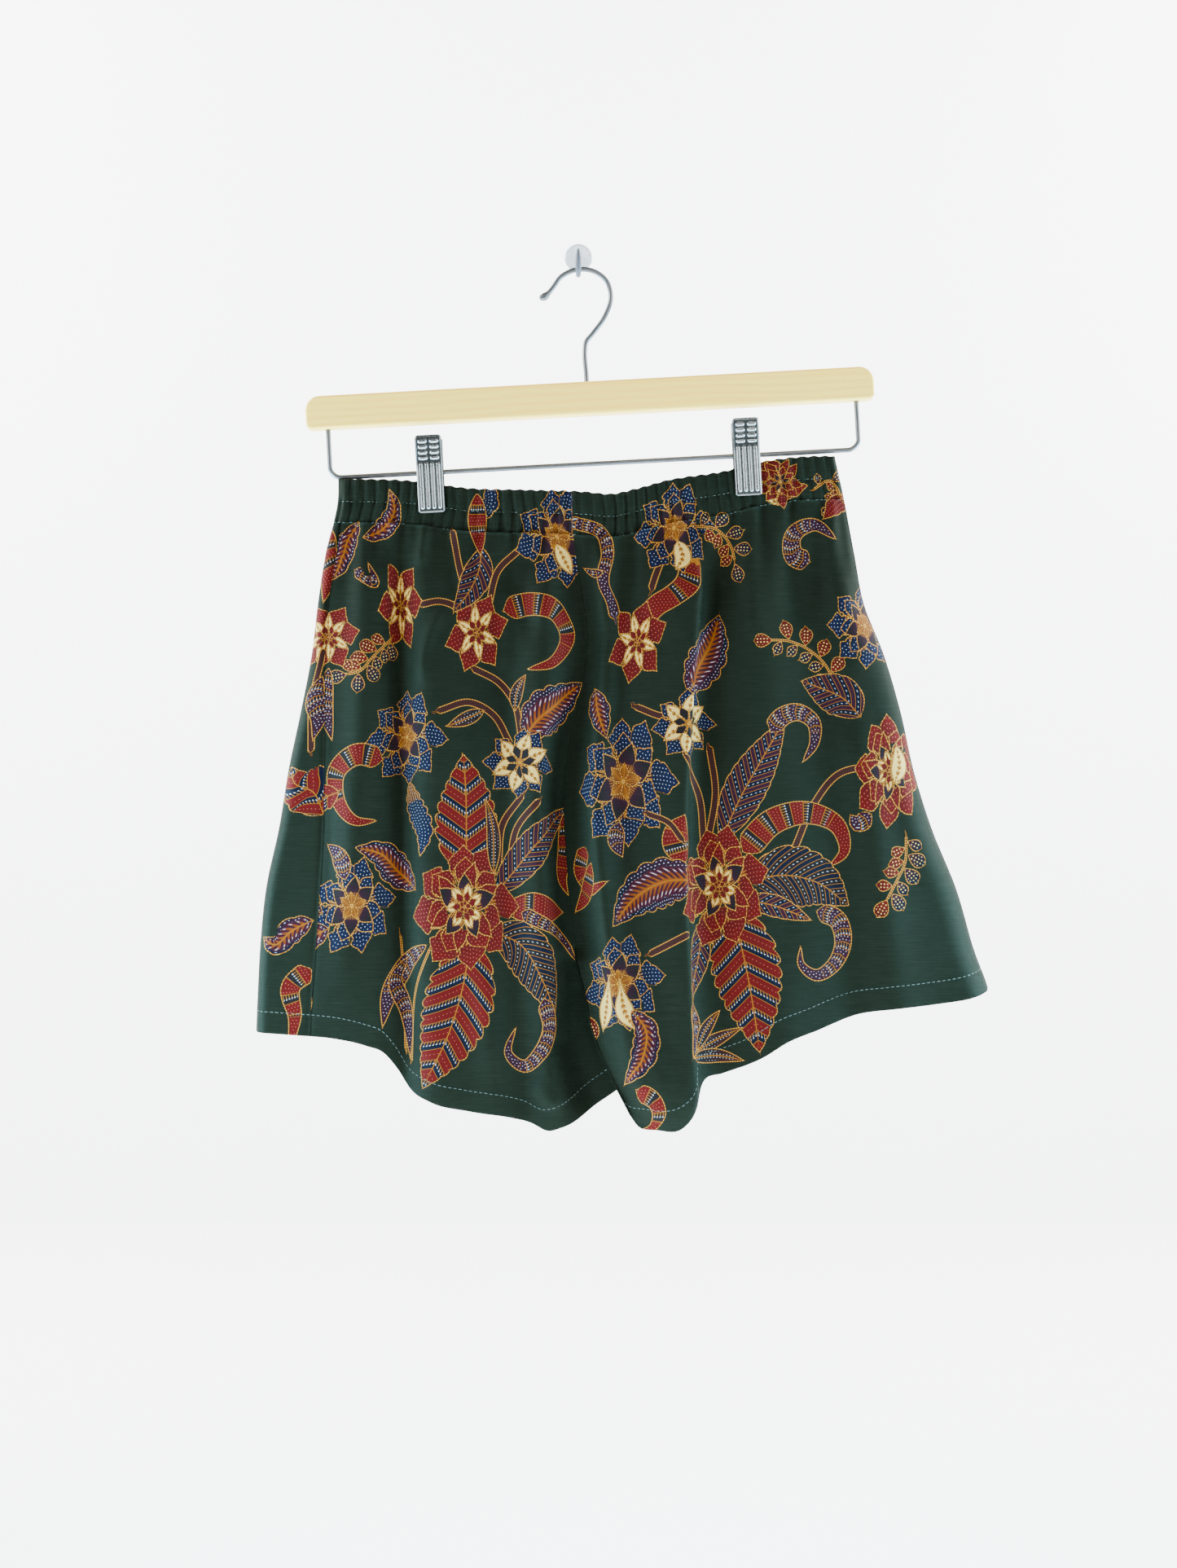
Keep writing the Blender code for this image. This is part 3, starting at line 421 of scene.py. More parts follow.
# Motifs of the front and of the strip of the back panel that shows at the left side, in the
# photograph's pixels, lowest layer first. A flower has its name, radius, turn in degrees, squash
# and place. A sprig has its berries' number and size, and any other motif its profile, style and
# half width, and both end with the line that they follow
MOTIFS = {
    "front_left": (
        ("stem", STEM, 4.5, ((519, 742), (540, 738), (558, 744), (572, 760))),
        ("stem", STEM, 4.5, ((600, 742), (612, 700), (640, 672))),
        ("stem", STEM, 4.5, ((583, 822), (612, 838), (632, 866), (640, 905))),
        ("stem", STEM, 4.5, ((540, 872), (575, 862), (606, 878), (626, 912))),
        ("stem", STEM, 4.5, ((612, 1058), (618, 1010), (640, 978))),
        ("stem", STEM, 4.5, ((626, 1062), (634, 1018), (660, 985))),
        ("stem", STEM, 4.5, ((556, 655), (566, 705), (580, 745))),
        ("stem", STEM, 4.0, ((358, 1180), (366, 1225), (352, 1268))),
        ("stem", LINE, 1.6, ((492, 1150), (496, 1210), (498, 1290))),
        ("stem", LINE, 1.6, ((528, 1165), (508, 1215), (506, 1300))),
        ("leaf", FEATHER, 23, ((608, 1098), (640, 1058), (670, 1024), (700, 990))),
        ("petal", BANDED, 21, ((606, 1114), (650, 1116), (692, 1120))),
        ("leaf", SPRAY, 31, ((600, 1142), (640, 1160), (664, 1200), (682, 1246))),
        ("sickle", DUSK, 11, (
            (668, 1226), (676, 1262), (664, 1292), (644, 1309), (624, 1294), (633, 1262),
        )),
        ("leaf", CHEVRON, 44, ((578, 1150), (570, 1205), (552, 1266), (519, 1336))),
        ("leaf", CHEVRON, 39, ((572, 1076), (573, 1020), (572, 975), (569, 926))),
        ("leaf", FERN, 22, ((508, 1092), (488, 1070), (470, 1050), (436, 1040))),
        ("leaf", DUSK, 13, ((524, 1160), (500, 1180), (480, 1215), (470, 1262))),
        ("leaf", DUSK, 10, ((500, 1175), (486, 1200), (500, 1240), (504, 1300))),
        ("peony", 68, 10, 1.24, ((570, 1113),)),
        ("leaf", FERN, 30, ((644, 906), (664, 880), (690, 860), (722, 840))),
        ("star_cream", 52, 0, 1.0, ((638, 936),)),
        ("sickle", BANDED, 15, ((618, 750), (650, 742), (684, 752), (696, 784), (680, 812), (648, 822))),
        ("star_red", 40, 12, 1.3, ((585, 777),)),
        ("star_red", 34, 0, 1.75, ((492, 744),)),
        ("sprig", 11, 17, ((480, 784), (458, 806), (444, 822), (424, 828))),
        ("lotus", 62, 8, 1.1, ((497, 905),)),
        ("sickle", BANDED, 14, ((470, 932), (438, 926), (414, 946), (416, 984), (436, 1008), (462, 1008))),
        ("leaf", BLUE, 16, ((500, 960), (506, 990), (520, 1020), (516, 1052))),
        ("leaf", LEAF, 9, ((632, 872), (634, 850), (646, 828))),
        ("leaf", LEAF, 9, ((594, 872), (574, 882), (548, 892))),
        ("leaf", LEAF, 9, ((606, 1072), (604, 1010), (596, 980))),
        ("lotus", 58, 20, 1.2, ((432, 1112),)),
        ("leaf", FERN, 20, ((404, 1140), (374, 1150), (350, 1140), (326, 1142))),
        ("leaf", FERN, 17, ((396, 1122), (372, 1112), (352, 1122), (324, 1138))),
        ("leaf", DUSK, 12, ((424, 1080), (416, 1050), (402, 1036))),
        ("horn", BANDED, 16, ((350, 1200), (372, 1230), (362, 1262), (350, 1280))),
        ("lotus", 64, 15, 1.15, ((684, 660),)),
        ("leaf", CREAM, 10, ((682, 668), (694, 690), (702, 706))),
        ("leaf", FEATHER, 19, ((592, 672), (588, 700), (574, 730), (556, 752))),
        ("leaf", FERN, 15, ((440, 640), (428, 662), (418, 690), (404, 712))),
        ("leaf", FERN, 15, ((446, 660), (470, 650), (484, 626), (478, 600))),
        ("leaf", BLUE, 12, ((584, 640), (602, 616), (596, 586))),
        ("leaf", BANDED, 13, ((586, 606), (586, 640), (590, 682))),
        ("horn", DUSK, 9, ((436, 700), (460, 716), (452, 690))),
        ("star_red", 40, 5, 1.1, ((405, 782),)),
        ("leaf", DUSK, 11, ((404, 820), (398, 860), (408, 910))),
        ("leaf", CHEVRON, 16, ((416, 972), (398, 980), (380, 1000))),
        ("leaf", BANDED, 11, ((694, 1000), (700, 1040), (690, 1080), (700, 1100))),
        ("horn", DUSK, 10, ((640, 1120), (690, 1150), (712, 1180))),
    ),
    "side_left": (
        ("star_red", 40, 5, 1.1, ((400, 782),)),
        ("leaf", BANDED, 15, ((404, 650), (396, 680), (402, 710), (396, 740))),
        ("stem", STEM, 4.0, ((394, 800), (384, 850), (382, 920))),
        ("leaf", DUSK, 12, ((396, 830), (386, 850), (392, 880), (384, 910))),
        ("leaf", CHEVRON, 31, ((404, 1000), (384, 972), (362, 962), (342, 942))),
        ("leaf", FERN, 18, ((384, 1130), (356, 1144), (338, 1160), (322, 1150))),
        ("horn", BANDED, 15, ((382, 1190), (358, 1210), (362, 1250), (350, 1290))),
    ),
    "front_right": (
        ("stem", STEM, 4.5, ((864, 1030), (858, 975), (842, 925))),
        ("stem", STEM, 4.5, ((870, 1028), (878, 972), (872, 920))),
        ("stem", STEM, 4.5, ((975, 1042), (1000, 985), (1030, 950), (1070, 940))),
        ("stem", STEM, 4.5, ((800, 1170), (820, 1160), (842, 1148))),
        ("stem", STEM, 4.0, ((800, 722), (812, 690), (822, 668))),
        ("stem", STEM, 4.5, ((782, 868), (818, 880), (846, 872))),
        ("leaf", FEATHER, 26, ((886, 1030), (910, 978), (936, 930), (964, 882))),
        ("sickle", DUSK, 12, ((946, 898), (960, 880), (980, 874), (998, 886), (1000, 910), (986, 936))),
        ("sickle", BANDED, 17, (
            (912, 1046), (950, 1008), (992, 998), (1030, 1016), (1036, 1046), (1018, 1064),
        )),
        ("leaf", BANDED, 19, ((838, 1060), (832, 1020), (840, 1000))),
        ("leaf", SPRAY, 38, ((920, 1082), (960, 1074), (1004, 1084), (1042, 1112))),
        ("sickle", DUSK, 12, (
            (1002, 1118), (1028, 1130), (1035, 1156), (1024, 1184), (1002, 1197), (984, 1184), (983, 1162),
        )),
        ("leaf", FEATHER, 14, ((912, 1104), (950, 1112), (996, 1130))),
        ("leaf", CHEVRON, 43, ((896, 1110), (912, 1170), (924, 1230), (932, 1292))),
        ("leaf", FEATHER, 15, ((862, 1130), (858, 1170), (852, 1232))),
        ("leaf", FERN, 31, ((852, 1080), (816, 1082), (784, 1100), (752, 1138))),
        ("peony", 62, 25, 1.3, ((883, 1088),)),
        ("leaf", DUSK, 10, ((852, 1230), (858, 1262), (850, 1300))),
        ("leaf", LEAF, 9, ((852, 1300), (880, 1276), (912, 1262))),
        ("leaf", LEAF, 9, ((856, 1300), (884, 1296), (914, 1302))),
        ("leaf", LEAF, 8, ((860, 1290), (866, 1264), (884, 1240))),
        ("leaf", FERN, 30, ((844, 850), (860, 822), (873, 790), (883, 754))),
        ("star_cream", 50, 10, 1.05, ((845, 888),)),
        ("lotus", 74, 10, 1.25, ((765, 960),)),
        ("leaf", DUSK, 12, ((760, 1010), (756, 1030), (764, 1052))),
        ("stem", STEM, 4.0, ((796, 1000), (820, 1010), (836, 1030))),
        ("sickle", BANDED, 12, ((716, 1040), (712, 1072), (724, 1092), (746, 1082))),
        ("stem", BANDED, 13, ((848, 692), (844, 716), (826, 732), (806, 744), (794, 756))),
        ("star_red", 38, 20, 1.4, ((783, 788),)),
        ("lotus", 58, 12, 1.15, ((828, 648),)),
        ("leaf", CREAM, 11, ((832, 664), (838, 684), (830, 700))),
        ("sprig", 9, 17, ((856, 646), (880, 650), (896, 668), (903, 694))),
        ("sprig", 10, 17, ((1026, 842), (1012, 815), (992, 797), (966, 787), (944, 786))),
        ("sprig", 10, 18, ((1113, 1028), (1111, 1060), (1099, 1085), (1088, 1106))),
        ("sprig", 7, 13, ((1000, 600), (1018, 590), (1030, 606), (1018, 626))),
        ("sickle", DUSK, 13, ((994, 690), (974, 682), (974, 658), (998, 644), (1026, 662))),
        ("leaf", RED, 11, ((1044, 610), (1026, 620), (1010, 638))),
        ("lotus", 52, 0, 1.2, ((1062, 768),)),
        ("leaf", FEATHER, 26, ((1056, 880), (1036, 858), (1010, 846), (984, 836))),
        ("peony", 49, 40, 1.5, ((1092, 946),)),
        ("leaf", CREAM, 11, ((1098, 960), (1104, 940), (1100, 914))),
        ("leaf", DUSK, 12, ((1070, 1000), (1052, 1010), (1044, 1000))),
        ("leaf", RED, 20, ((916, 586), (944, 584), (972, 600), (992, 596))),
        ("leaf", CREAM, 9, ((960, 596), (948, 610), (956, 622))),
        ("dahlia", 38, 0, 0.9, ((958, 592),)),
        ("stem", DUSK, 8, ((706, 642), (736, 652), (746, 680), (742, 720), (754, 752))),
        ("leaf", DUSK, 6, ((740, 702), (728, 704), (716, 698))),
        ("leaf", FERN, 17, ((728, 846), (736, 880), (744, 906))),
        ("lotus", 62, 20, 1.1, ((760, 1208),)),
        ("petal", CREAM, 12, ((748, 1206), (742, 1240), (740, 1266))),
        ("petal", CREAM, 12, ((762, 1210), (768, 1244), (780, 1264))),
        ("drop", BERRY, 9, ((714, 1246), (704, 1236), (694, 1222))),
        ("drop", BERRY, 8, ((708, 1244), (700, 1254), (692, 1268))),
        ("drop", BERRY, 9, ((712, 1246), (718, 1260), (724, 1278))),
        ("leaf", FERN, 17, ((776, 1240), (794, 1266), (790, 1300), (766, 1332))),
        ("horn", BANDED, 13, ((782, 1340), (804, 1352), (800, 1384), (780, 1392))),
        ("leaf", BANDED, 12, ((724, 1060), (718, 1100), (706, 1120))),
    ),
}

# The back's print is the front's, seen from behind and moved by some pixels
BACK_SHIFT = (22, 30)
BACK_MIDDLE_PX = 724

GROUND = (0.0032, 0.0045, 0.0020)
GROUND_LIGHT = (0.0048, 0.0076, 0.0038)
SLUB_COLOUR = (0.02, 0.02, 0.016)

# Other materials, in the shader's linear colours
THREAD = ((0.026, 0.048, 0.038), (0.055, 0.09, 0.072))
PINE_LIGHT = (1.0, 0.63, 0.075)
PINE_RING = (0.95, 0.53, 0.05)
PINE_FIBRE = (0.74, 0.42, 0.06)
PINE_STAIN = (0.92, 0.62, 0.10)
POLISHED = ((0.11, 0.115, 0.12), (0.17, 0.175, 0.18))
# Pressed chrome: the light colour is a painted highlight on ribs, grips and rim, and the dark one is
# painted shade between them.
PRESSED = ((0.13, 0.15, 0.15), (0.42, 0.44, 0.45))
STAGE_COLOUR = (0.86, 0.86, 0.86)

# The wall hook's plastics, in 8-bit display colours
CLEAR_PLASTIC = ((160, 170, 176), (180, 188, 193))
GREY_PLASTIC = ((80, 84, 91), (96, 100, 107))


def smooth(xs, ys, x):
    """A smooth curve through the points of a table, read at x."""
    xs = np.asarray(xs, float)
    ys = np.asarray(ys, float)
    if xs[0] > xs[-1]:
        xs, ys = xs[::-1], ys[::-1]
    slope = np.gradient(ys, xs)
    x = np.clip(x, xs[0], xs[-1])
    i = np.clip(np.searchsorted(xs, x) - 1, 0, len(xs) - 2)
    span = xs[i + 1] - xs[i]
    t = (x - xs[i]) / span
    rise = ys[i] * (2 * t**3 - 3 * t**2 + 1) + ys[i + 1] * (3 * t**2 - 2 * t**3)
    return rise + span * (slope[i] * (t**3 - 2 * t**2 + t) + slope[i + 1] * (t**3 - t**2))


def ease(t):
    t = np.clip(t, 0.0, 1.0)
    return t * t * (3.0 - 2.0 * t)


def bell(gap, width):
    """1 at no gap, and falling to nothing about two widths away."""
    return np.exp(-((gap / width) ** 2))


def reach_along(points):
    """How far along a line each of its points is."""
    return np.concatenate([[0], np.cumsum(np.linalg.norm(np.diff(points, axis=0), axis=1))])


def unit(vectors, least=1e-9):
    """Vectors with a length of 1. One with no length stays as it is."""
    return vectors / (np.linalg.norm(vectors, axis=-1, keepdims=True) + least)


def resampled(points, step):
    """Points a step apart on a smooth curve through the given points."""
    points = np.asarray(points, float)
    reach = reach_along(points)
    places = np.linspace(0, reach[-1], max(3, int(reach[-1] / step) + 1))
    return np.stack([smooth(reach, points[:, k], places) for k in range(points.shape[1])], axis=1)


def along_curve(points, x, y):
    """For each place: how far along the curve its nearest point is, and its signed distance."""
    reach = reach_along(points)
    tangent = unit(np.gradient(points, axis=0))
    gap_x = x[..., None] - points[:, 0]
    gap_y = y[..., None] - points[:, 1]
    i = np.argmin(gap_x**2 + gap_y**2, axis=-1)
    gap_x = np.take_along_axis(gap_x, i[..., None], -1)[..., 0]
    gap_y = np.take_along_axis(gap_y, i[..., None], -1)[..., 0]
    forward = gap_x * tangent[i, 0] + gap_y * tangent[i, 1]
    side = gap_x * tangent[i, 1] - gap_y * tangent[i, 0]
    s = np.clip(reach[i] + forward, 0, reach[-1])
    beyond = reach[i] + forward - s
    return s, np.where(side < 0, -1.0, 1.0) * np.hypot(side, beyond), reach[-1]


def seen_px(points):
    """Where points of the frame fall on the photograph, in pixels."""
    focal = FRAME_PX[1] * LENS / SENSOR
    away = points[..., 1] - CAMERA_AT[1]
    px = FRAME_PX[0] / 2 + focal * (points[..., 0] - CAMERA_AT[0]) / away
    py = FRAME_PX[1] / 2 - focal * (points[..., 2] - CAMERA_AT[2]) / away
    return px, py


# Shape of the cloth


def section(table, z):
    return smooth(SECTION_Z, table, z)


def inner_edge(side, front, z):
    """X and Y of a panel's inner edge: the centre seam above the crotch, the inseam below."""
    seam_x = smooth(CENTRE_Z, CENTRE_FRONT_X if front else CENTRE_BACK_X, z)
    seam_y = smooth(CENTRE_Z, CENTRE_FRONT_Y if front else CENTRE_BACK_Y, z)
    leg_x = np.interp(-z, [-level for level in LEG_Z], LEFT_LEG_X if side == "left" else RIGHT_LEG_X)
    leg_y = np.interp(-z, [-level for level in LEG_Z], LEFT_LEG_Y if side == "left" else RIGHT_LEG_Y)
    leg_y = leg_y + (-0.5 if front else 0.5) * INSEAM_SPREAD
    below = z < CENTRE_Z[-1]
    return np.where(below, leg_x, seam_x), np.where(below, leg_y, seam_y)


def spaced(count, crowd):
    """Places from 0 to 1 that crowd towards both ends."""
    even = np.linspace(0.0, 1.0, count)
    return (1.0 - crowd) * even + crowd * (0.5 - 0.5 * np.cos(math.pi * even))


def row_levels(top, hem, share):
    """The level of each row in each column. A share of 0 is the side, 1 the inner edge."""
    side_middle = top + (hem - top) * SIDE_MIDDLE
    middle = side_middle + (CENTRE_Z[-1] - side_middle) * ease(share)
    rise = [top + (middle - top) * t for t in np.linspace(0, 1, RISE_ROWS)]
    leg = [middle + (hem + HEM_HEIGHTS[0] - middle) * t for t in np.linspace(0, 1, LEG_ROWS + 1)[1:]]
    turned = [hem + height for height in HEM_HEIGHTS[1:]]
    return np.array(rise + leg + turned)


def side_seam(left):
    """X of the side seam below the casing and at the hem."""
    if left:
        return section(LEFT_SEAM, -167), LEFT_SEAM[-2]
    return section(RIGHT_EDGE, -153), HEM_RIGHT_X[-1]


def side_seam_levels(left):
    """The side seam's two ends: below the casing and at the hem."""
    top_x, hem_x = side_seam(left)
    return casing_foot(top_x), hem_level(left, hem_x)


def hem_inner_x(left):
    return HEM_X[-1] if left else HEM_RIGHT_X[0]


def casing_foot(x):
    return smooth(WAIST_X, WAIST_Z, x) - CASING_HEIGHT


def hem_level(left, x):
    return smooth(HEM_X, HEM_Z, x) if left else smooth(HEM_RIGHT_X, HEM_RIGHT_Z, x)


def fold_shift(panel, x, z):
    """How far the folds move each point of a panel in X and in Y."""
    dx = np.zeros_like(x)
    dy = np.zeros_like(x)
    for fold in FOLDS:
        row = dict(zip(FOLD_COLUMNS, fold))
        if row["panel"] != panel:
            continue
        middle = smooth(FOLD_LEVELS, (row["x_hem"], row["x_middle"], row["x_top"]), z)
        grown = ease((casing_foot(x) - z - row["start"]) / FOLD_FADE)
        left = ease((z - row["z_end"]) / FOLD_FADE)
        share = bell(x - middle, row["width"]) * grown * left
        dy -= row["height"] * share
        dx += row["lean"] * share
    return dx, dy


def puckers(x, z):
    """Short ripples that the casing's gathers send down the cloth, and its slight unevenness."""
    below = np.maximum(casing_foot(x) - z, 0.0)
    ripple = np.sin(x / RIPPLE[1] + 0.9 * np.sin(x / 17.0)) * np.exp(-((below / RIPPLE[2]) ** 1.2))
    wave = np.sin(x / WAVE[1] + 1.3 * np.sin(x / 23.0) + below / 60.0)
    wave = wave * np.exp(-((below / WAVE[2]) ** 1.4))
    broad = np.sin(x / BROAD[1] + z / 41.0) * np.sin(z / 29.0 - x / 37.0)
    return RIPPLE[0] * ripple + WAVE[0] * wave + BROAD[0] * broad * ease(below / BROAD[2])


def crease_shift(points):
    """How far the front's creases move each of its points in Y."""
    px, py = seen_px(points)
    shift = np.zeros_like(px)
    for line, height, width in CREASES:
        curve = resampled(line, 4.0)
        reach = width / MM_PER_PX
        lo, hi = curve.min(axis=0) - 3 * reach, curve.max(axis=0) + 3 * reach
        near = (px > lo[0]) & (px < hi[0]) & (py > lo[1]) & (py < hi[1])
        if not near.any():
            continue
        s, d, length = along_curve(curve, px[near], py[near])
        raised = CREASE_GROWTH * height * bell(d, reach)
        shift[near] -= raised * ease(s / length * 4) * ease((1 - s / length) * 4)
    return shift


def front_panel(side):
    """The middle surface of a front panel, as rows from the casing to the hem."""
    left = side == "left"
    a = spaced(FRONT_COLUMNS, 0.2)
    top_side, hem_side = side_seam(left)
    top_x = top_side + (CENTRE_FRONT_X[1] - top_side) * a
    hem_x = hem_side + (hem_inner_x(left) - hem_side) * a
    z = row_levels(casing_foot(top_x), hem_level(left, hem_x), a)

    side_x = section(LEFT_SEAM if left else RIGHT_EDGE, z[:, :1])
    inner_x, inner_y = inner_edge(side, True, z[:, -1:])
    x = side_x + (inner_x - side_x) * a
    main = section(FRONT_DEPTH_LEFT if left else FRONT_DEPTH_RIGHT, z)
    if left:
        seam_y = main + SEAM_RECESS
        y = main + (seam_y - main) * (1 - ease((x - side_x) / SEAM_SLOPE))
    else:
        turn = np.clip((side_x - x) / (EDGE_SPREAD * EDGE_ROUND), 0, 1)
        y = main + (section(SIDE_DEPTH, z) - main) * (1 - np.sqrt(1 - (1 - turn) ** 2))
    tucked = np.interp(-z, [-level for level in LEFT_LEG_TUCK_Z], LEFT_LEG_TUCK)
    flat = tucked if left else 1.0
    near = 1 - ease((np.abs(x - inner_x) - flat) / FRONT_INNER_SLOPE)
    y = y + (inner_y - y) * near
    dx, dy = fold_shift(f"front_{side}", x, z)
    ends = ease(a / 0.06) * ease((1 - a) / 0.08)
    moved = np.stack([x + dx * ends, y + dy * ends * (1 - near * 0.8), z], axis=-1)
    moved[..., 1] += (crease_shift(moved) - puckers(moved[..., 0], z)) * ends
    dip = bell(x - inner_x, SEAM_DIP_WIDTH) + bell(x - side_x, SEAM_DIP_WIDTH)
    moved[..., 1] += SEAM_DIP * dip * ease((z[0] - z) / SEAM_START)
    return moved


def edge_plan(left, z):
    """X and Y round the outer edge of a back panel, from the side seam to the back."""
    back_y = section(BACK_DEPTH, z)
    if not left:
        edge_x = section(RIGHT_EDGE, z)
        seam_y = section(SIDE_DEPTH, z)
        turn = np.linspace(0.0, math.pi / 2, EDGE_COLUMNS + STRIP_COLUMNS)
        return edge_x - EDGE_ROUND * (1 - np.cos(turn)), seam_y + (back_y - seam_y) * np.sin(turn)
    edge_x = section(LEFT_EDGE, z)
    front_y = section(FRONT_DEPTH_LEFT, z) + SEAM_RECESS
    seam_x = section(LEFT_SEAM, z)
    half = (back_y - front_y) / 2
    round_x = min(EDGE_ROUND, (seam_x - edge_x) * 0.8)
    strip = np.linspace(seam_x, edge_x + round_x, STRIP_COLUMNS, endpoint=False)
    turn = np.linspace(0.0, math.pi, EDGE_COLUMNS)
    dip = SEAM_DIP * bell(strip - seam_x, SEAM_DIP_WIDTH)
    plan_x = np.concatenate([strip, edge_x + round_x * (1 - np.sin(turn))])
    plan_y = np.concatenate([strip * 0 + front_y + dip, front_y + half - half * np.cos(turn)])
    return plan_x, plan_y


def back_panel(side):
    """The middle surface of a back panel. The left one wraps round the edge to the front."""
    left = side == "left"
    wrapped = EDGE_COLUMNS + STRIP_COLUMNS
    share = np.concatenate([np.zeros(wrapped), spaced(BACK_COLUMNS, 0.15)[1:]])
    behind = share > 0
    ends = []
    for level, inner in zip(side_seam_levels(left), (CENTRE_BACK_X[1], hem_inner_x(left))):
        plan_x = edge_plan(left, level)[0]
        flat_x = plan_x[-1] + (inner - plan_x[-1]) * share[wrapped:]
        ends.append(np.concatenate([plan_x, flat_x]))
    tops = casing_foot(ends[0])
    hems = hem_level(left, ends[1]) + BACK_HEM_LIFT * ease(share / 0.1) * ease((1 - share) / 0.1)
    z = row_levels(tops, hems, share)
    rows = []
    for level in z:
        plan_x, plan_y = edge_plan(left, level[0])
        inner_x, inner_y = inner_edge(side, False, level[-1])
        back_y = section(BACK_DEPTH, level[wrapped:])
        flat_x = plan_x[-1] + (inner_x - plan_x[-1]) * share[wrapped:]
        overlap = inner_edge("left", True, level[-1])[0] - inner_x
        stay = 0.0 if left else max(0.0, float(overlap) + 3.0)
        near = 1 - ease((np.abs(flat_x - inner_x) - stay) / BACK_INNER_SLOPE)
        x = np.concatenate([plan_x, flat_x])
        y = np.concatenate([plan_y, back_y + (inner_y - back_y) * near])
        level = level + (casing_foot(x) - tops) * (level - hems) / (tops - hems)
        dx, dy = fold_shift(f"back_{side}", x, level)
        grown = behind * ease(share / 0.15) * (1 - np.concatenate([np.zeros(wrapped), near]))
        soft = puckers(-x, level) * ease((1 - share) / 0.08)
        from_edge = np.abs(np.arange(len(x)) - wrapped)
        outward = np.where(behind, 1.0, -1.0 if left else 0.0) * ease(from_edge / 10)
        dip = SEAM_DIP * bell(x - inner_x, SEAM_DIP_WIDTH) * behind
        dip = dip * ease((tops - level) / SEAM_START)
        y = y + dy * grown + BACK_PUCKERS * soft * outward - dip
        rows.append(np.stack([x + dx * grown, y, level], axis=-1))
    return np.array(rows)


def turned_hem(grid, inward):
    """Adds the rows of the hem that is turned up inside. Inward is +1 or -1 across the row."""
    run = unit(np.gradient(grid[-1, :, :2], axis=0))
    inside = inward * np.stack([-run[:, 1], run[:, 0], 0 * run[:, 0]], axis=1)
    heights = list(HEM_HEIGHTS)
    rows = []
    for height, gap in TURNED_ROWS:
        row = grid[len(grid) - len(heights) + heights.index(height)]
        rows.append(row + inside * HEM_GAP * gap)
    return np.concatenate([grid, np.array(rows)])


def casing(front):
    """The front or back of the gathered casing: up its outer face, over the top and down inside."""
    count = GATHERS * GATHER_COLUMNS + 1
    a = np.linspace(0.0, 1.0, count)
    outer = np.linspace(1.0, 0.0, CASING_OUTER_ROWS)
    inner = np.linspace(0.0, 1.0, CASING_INNER_ROWS)
    turned = np.array(CASING_TOP)
    v = np.concatenate([outer, 0 * turned[:, 0], inner])[:, None]
    lean = np.concatenate([0 * outer - 1, turned[:, 0], 0 * inner + 1])[:, None]
    rise = np.concatenate([0 * outer, turned[:, 1], 0 * inner])[:, None]
    left_x, right_x = section(LEFT_EDGE, -150), section(RIGHT_EDGE, -133)
    x = left_x + (right_x - left_x) * a + 0 * v
    z = smooth(WAIST_X, WAIST_Z, x) - CASING_HEIGHT * v
    left_now, right_now = section(LEFT_EDGE, z[:, :1]), section(RIGHT_EDGE, z[:, -1:])
    x = left_now + (right_now - left_now) * a
    z = smooth(WAIST_X, WAIST_Z, x) - CASING_HEIGHT * v
    flat_y = FRONT_DEPTH_LEFT[0] if front else BACK_DEPTH[0]
    turn = np.clip(np.minimum(x - left_now, right_now - x) / CASING_ROUND, 0, 1)
    side_y = SIDE_DEPTH[0] + (-CASING_SPREAD if front else CASING_SPREAD)
    y = flat_y + (side_y - flat_y) * (1 - np.sqrt(1 - (1 - turn) ** 2))
    uneven = 1.0 + 0.25 * np.sin(a * 23.0) + 0.2 * np.sin(a * 57.0 + 1.0)
    phase = 2 * math.pi * GATHERS * a + 0.6 * np.sin(a * 31.0)
    wave = np.sin(phase + 0.5 * np.sin(5.0 * v + a * 40.0)) * uneven
    wave = wave + 0.35 * np.sin(2.1 * phase + 4.0 * v)
    pinch = sum(bell(v - stitched, PINCH_WIDTH) for stitched in (0.5, 1.0))
    y = y + GATHER_DEPTH * wave * ease(turn) * (0.72 + 0.25 * pinch)
    half = CASING_HALF * (1 - 0.6 * pinch) * (0.2 + 0.8 * ease(turn))
    facing = 1.0 if front else -1.0
    y = y + facing * lean * half
    ruffle = RUFFLE * np.sin(phase + 1.2) * (1 - v) ** 2
    return np.stack([x, y, z + rise * CASING_HALF + ruffle * ease(turn)], axis=-1)


# Print: motifs laid on the flat cloth, in layers that carry them to the shader


def grid_faces(rows, columns):
    """The quads of a grid of points, and the points round its border."""
    index = np.arange(rows * columns).reshape(rows, columns)
    quads = np.stack([index[:-1, :-1], index[:-1, 1:], index[1:, 1:], index[1:, :-1]], axis=-1)
    border = np.concatenate([index[0, :-1], index[:-1, -1], index[-1, :0:-1], index[:0:-1, 0]])
    return quads.reshape(-1, 4), border


def rim_faces(border, count):
    """Quads from the border of a sheet to that of its other side, whose points come count later."""
    following = np.roll(border, -1)
    return np.stack([border, following, following + count, border + count], axis=1)


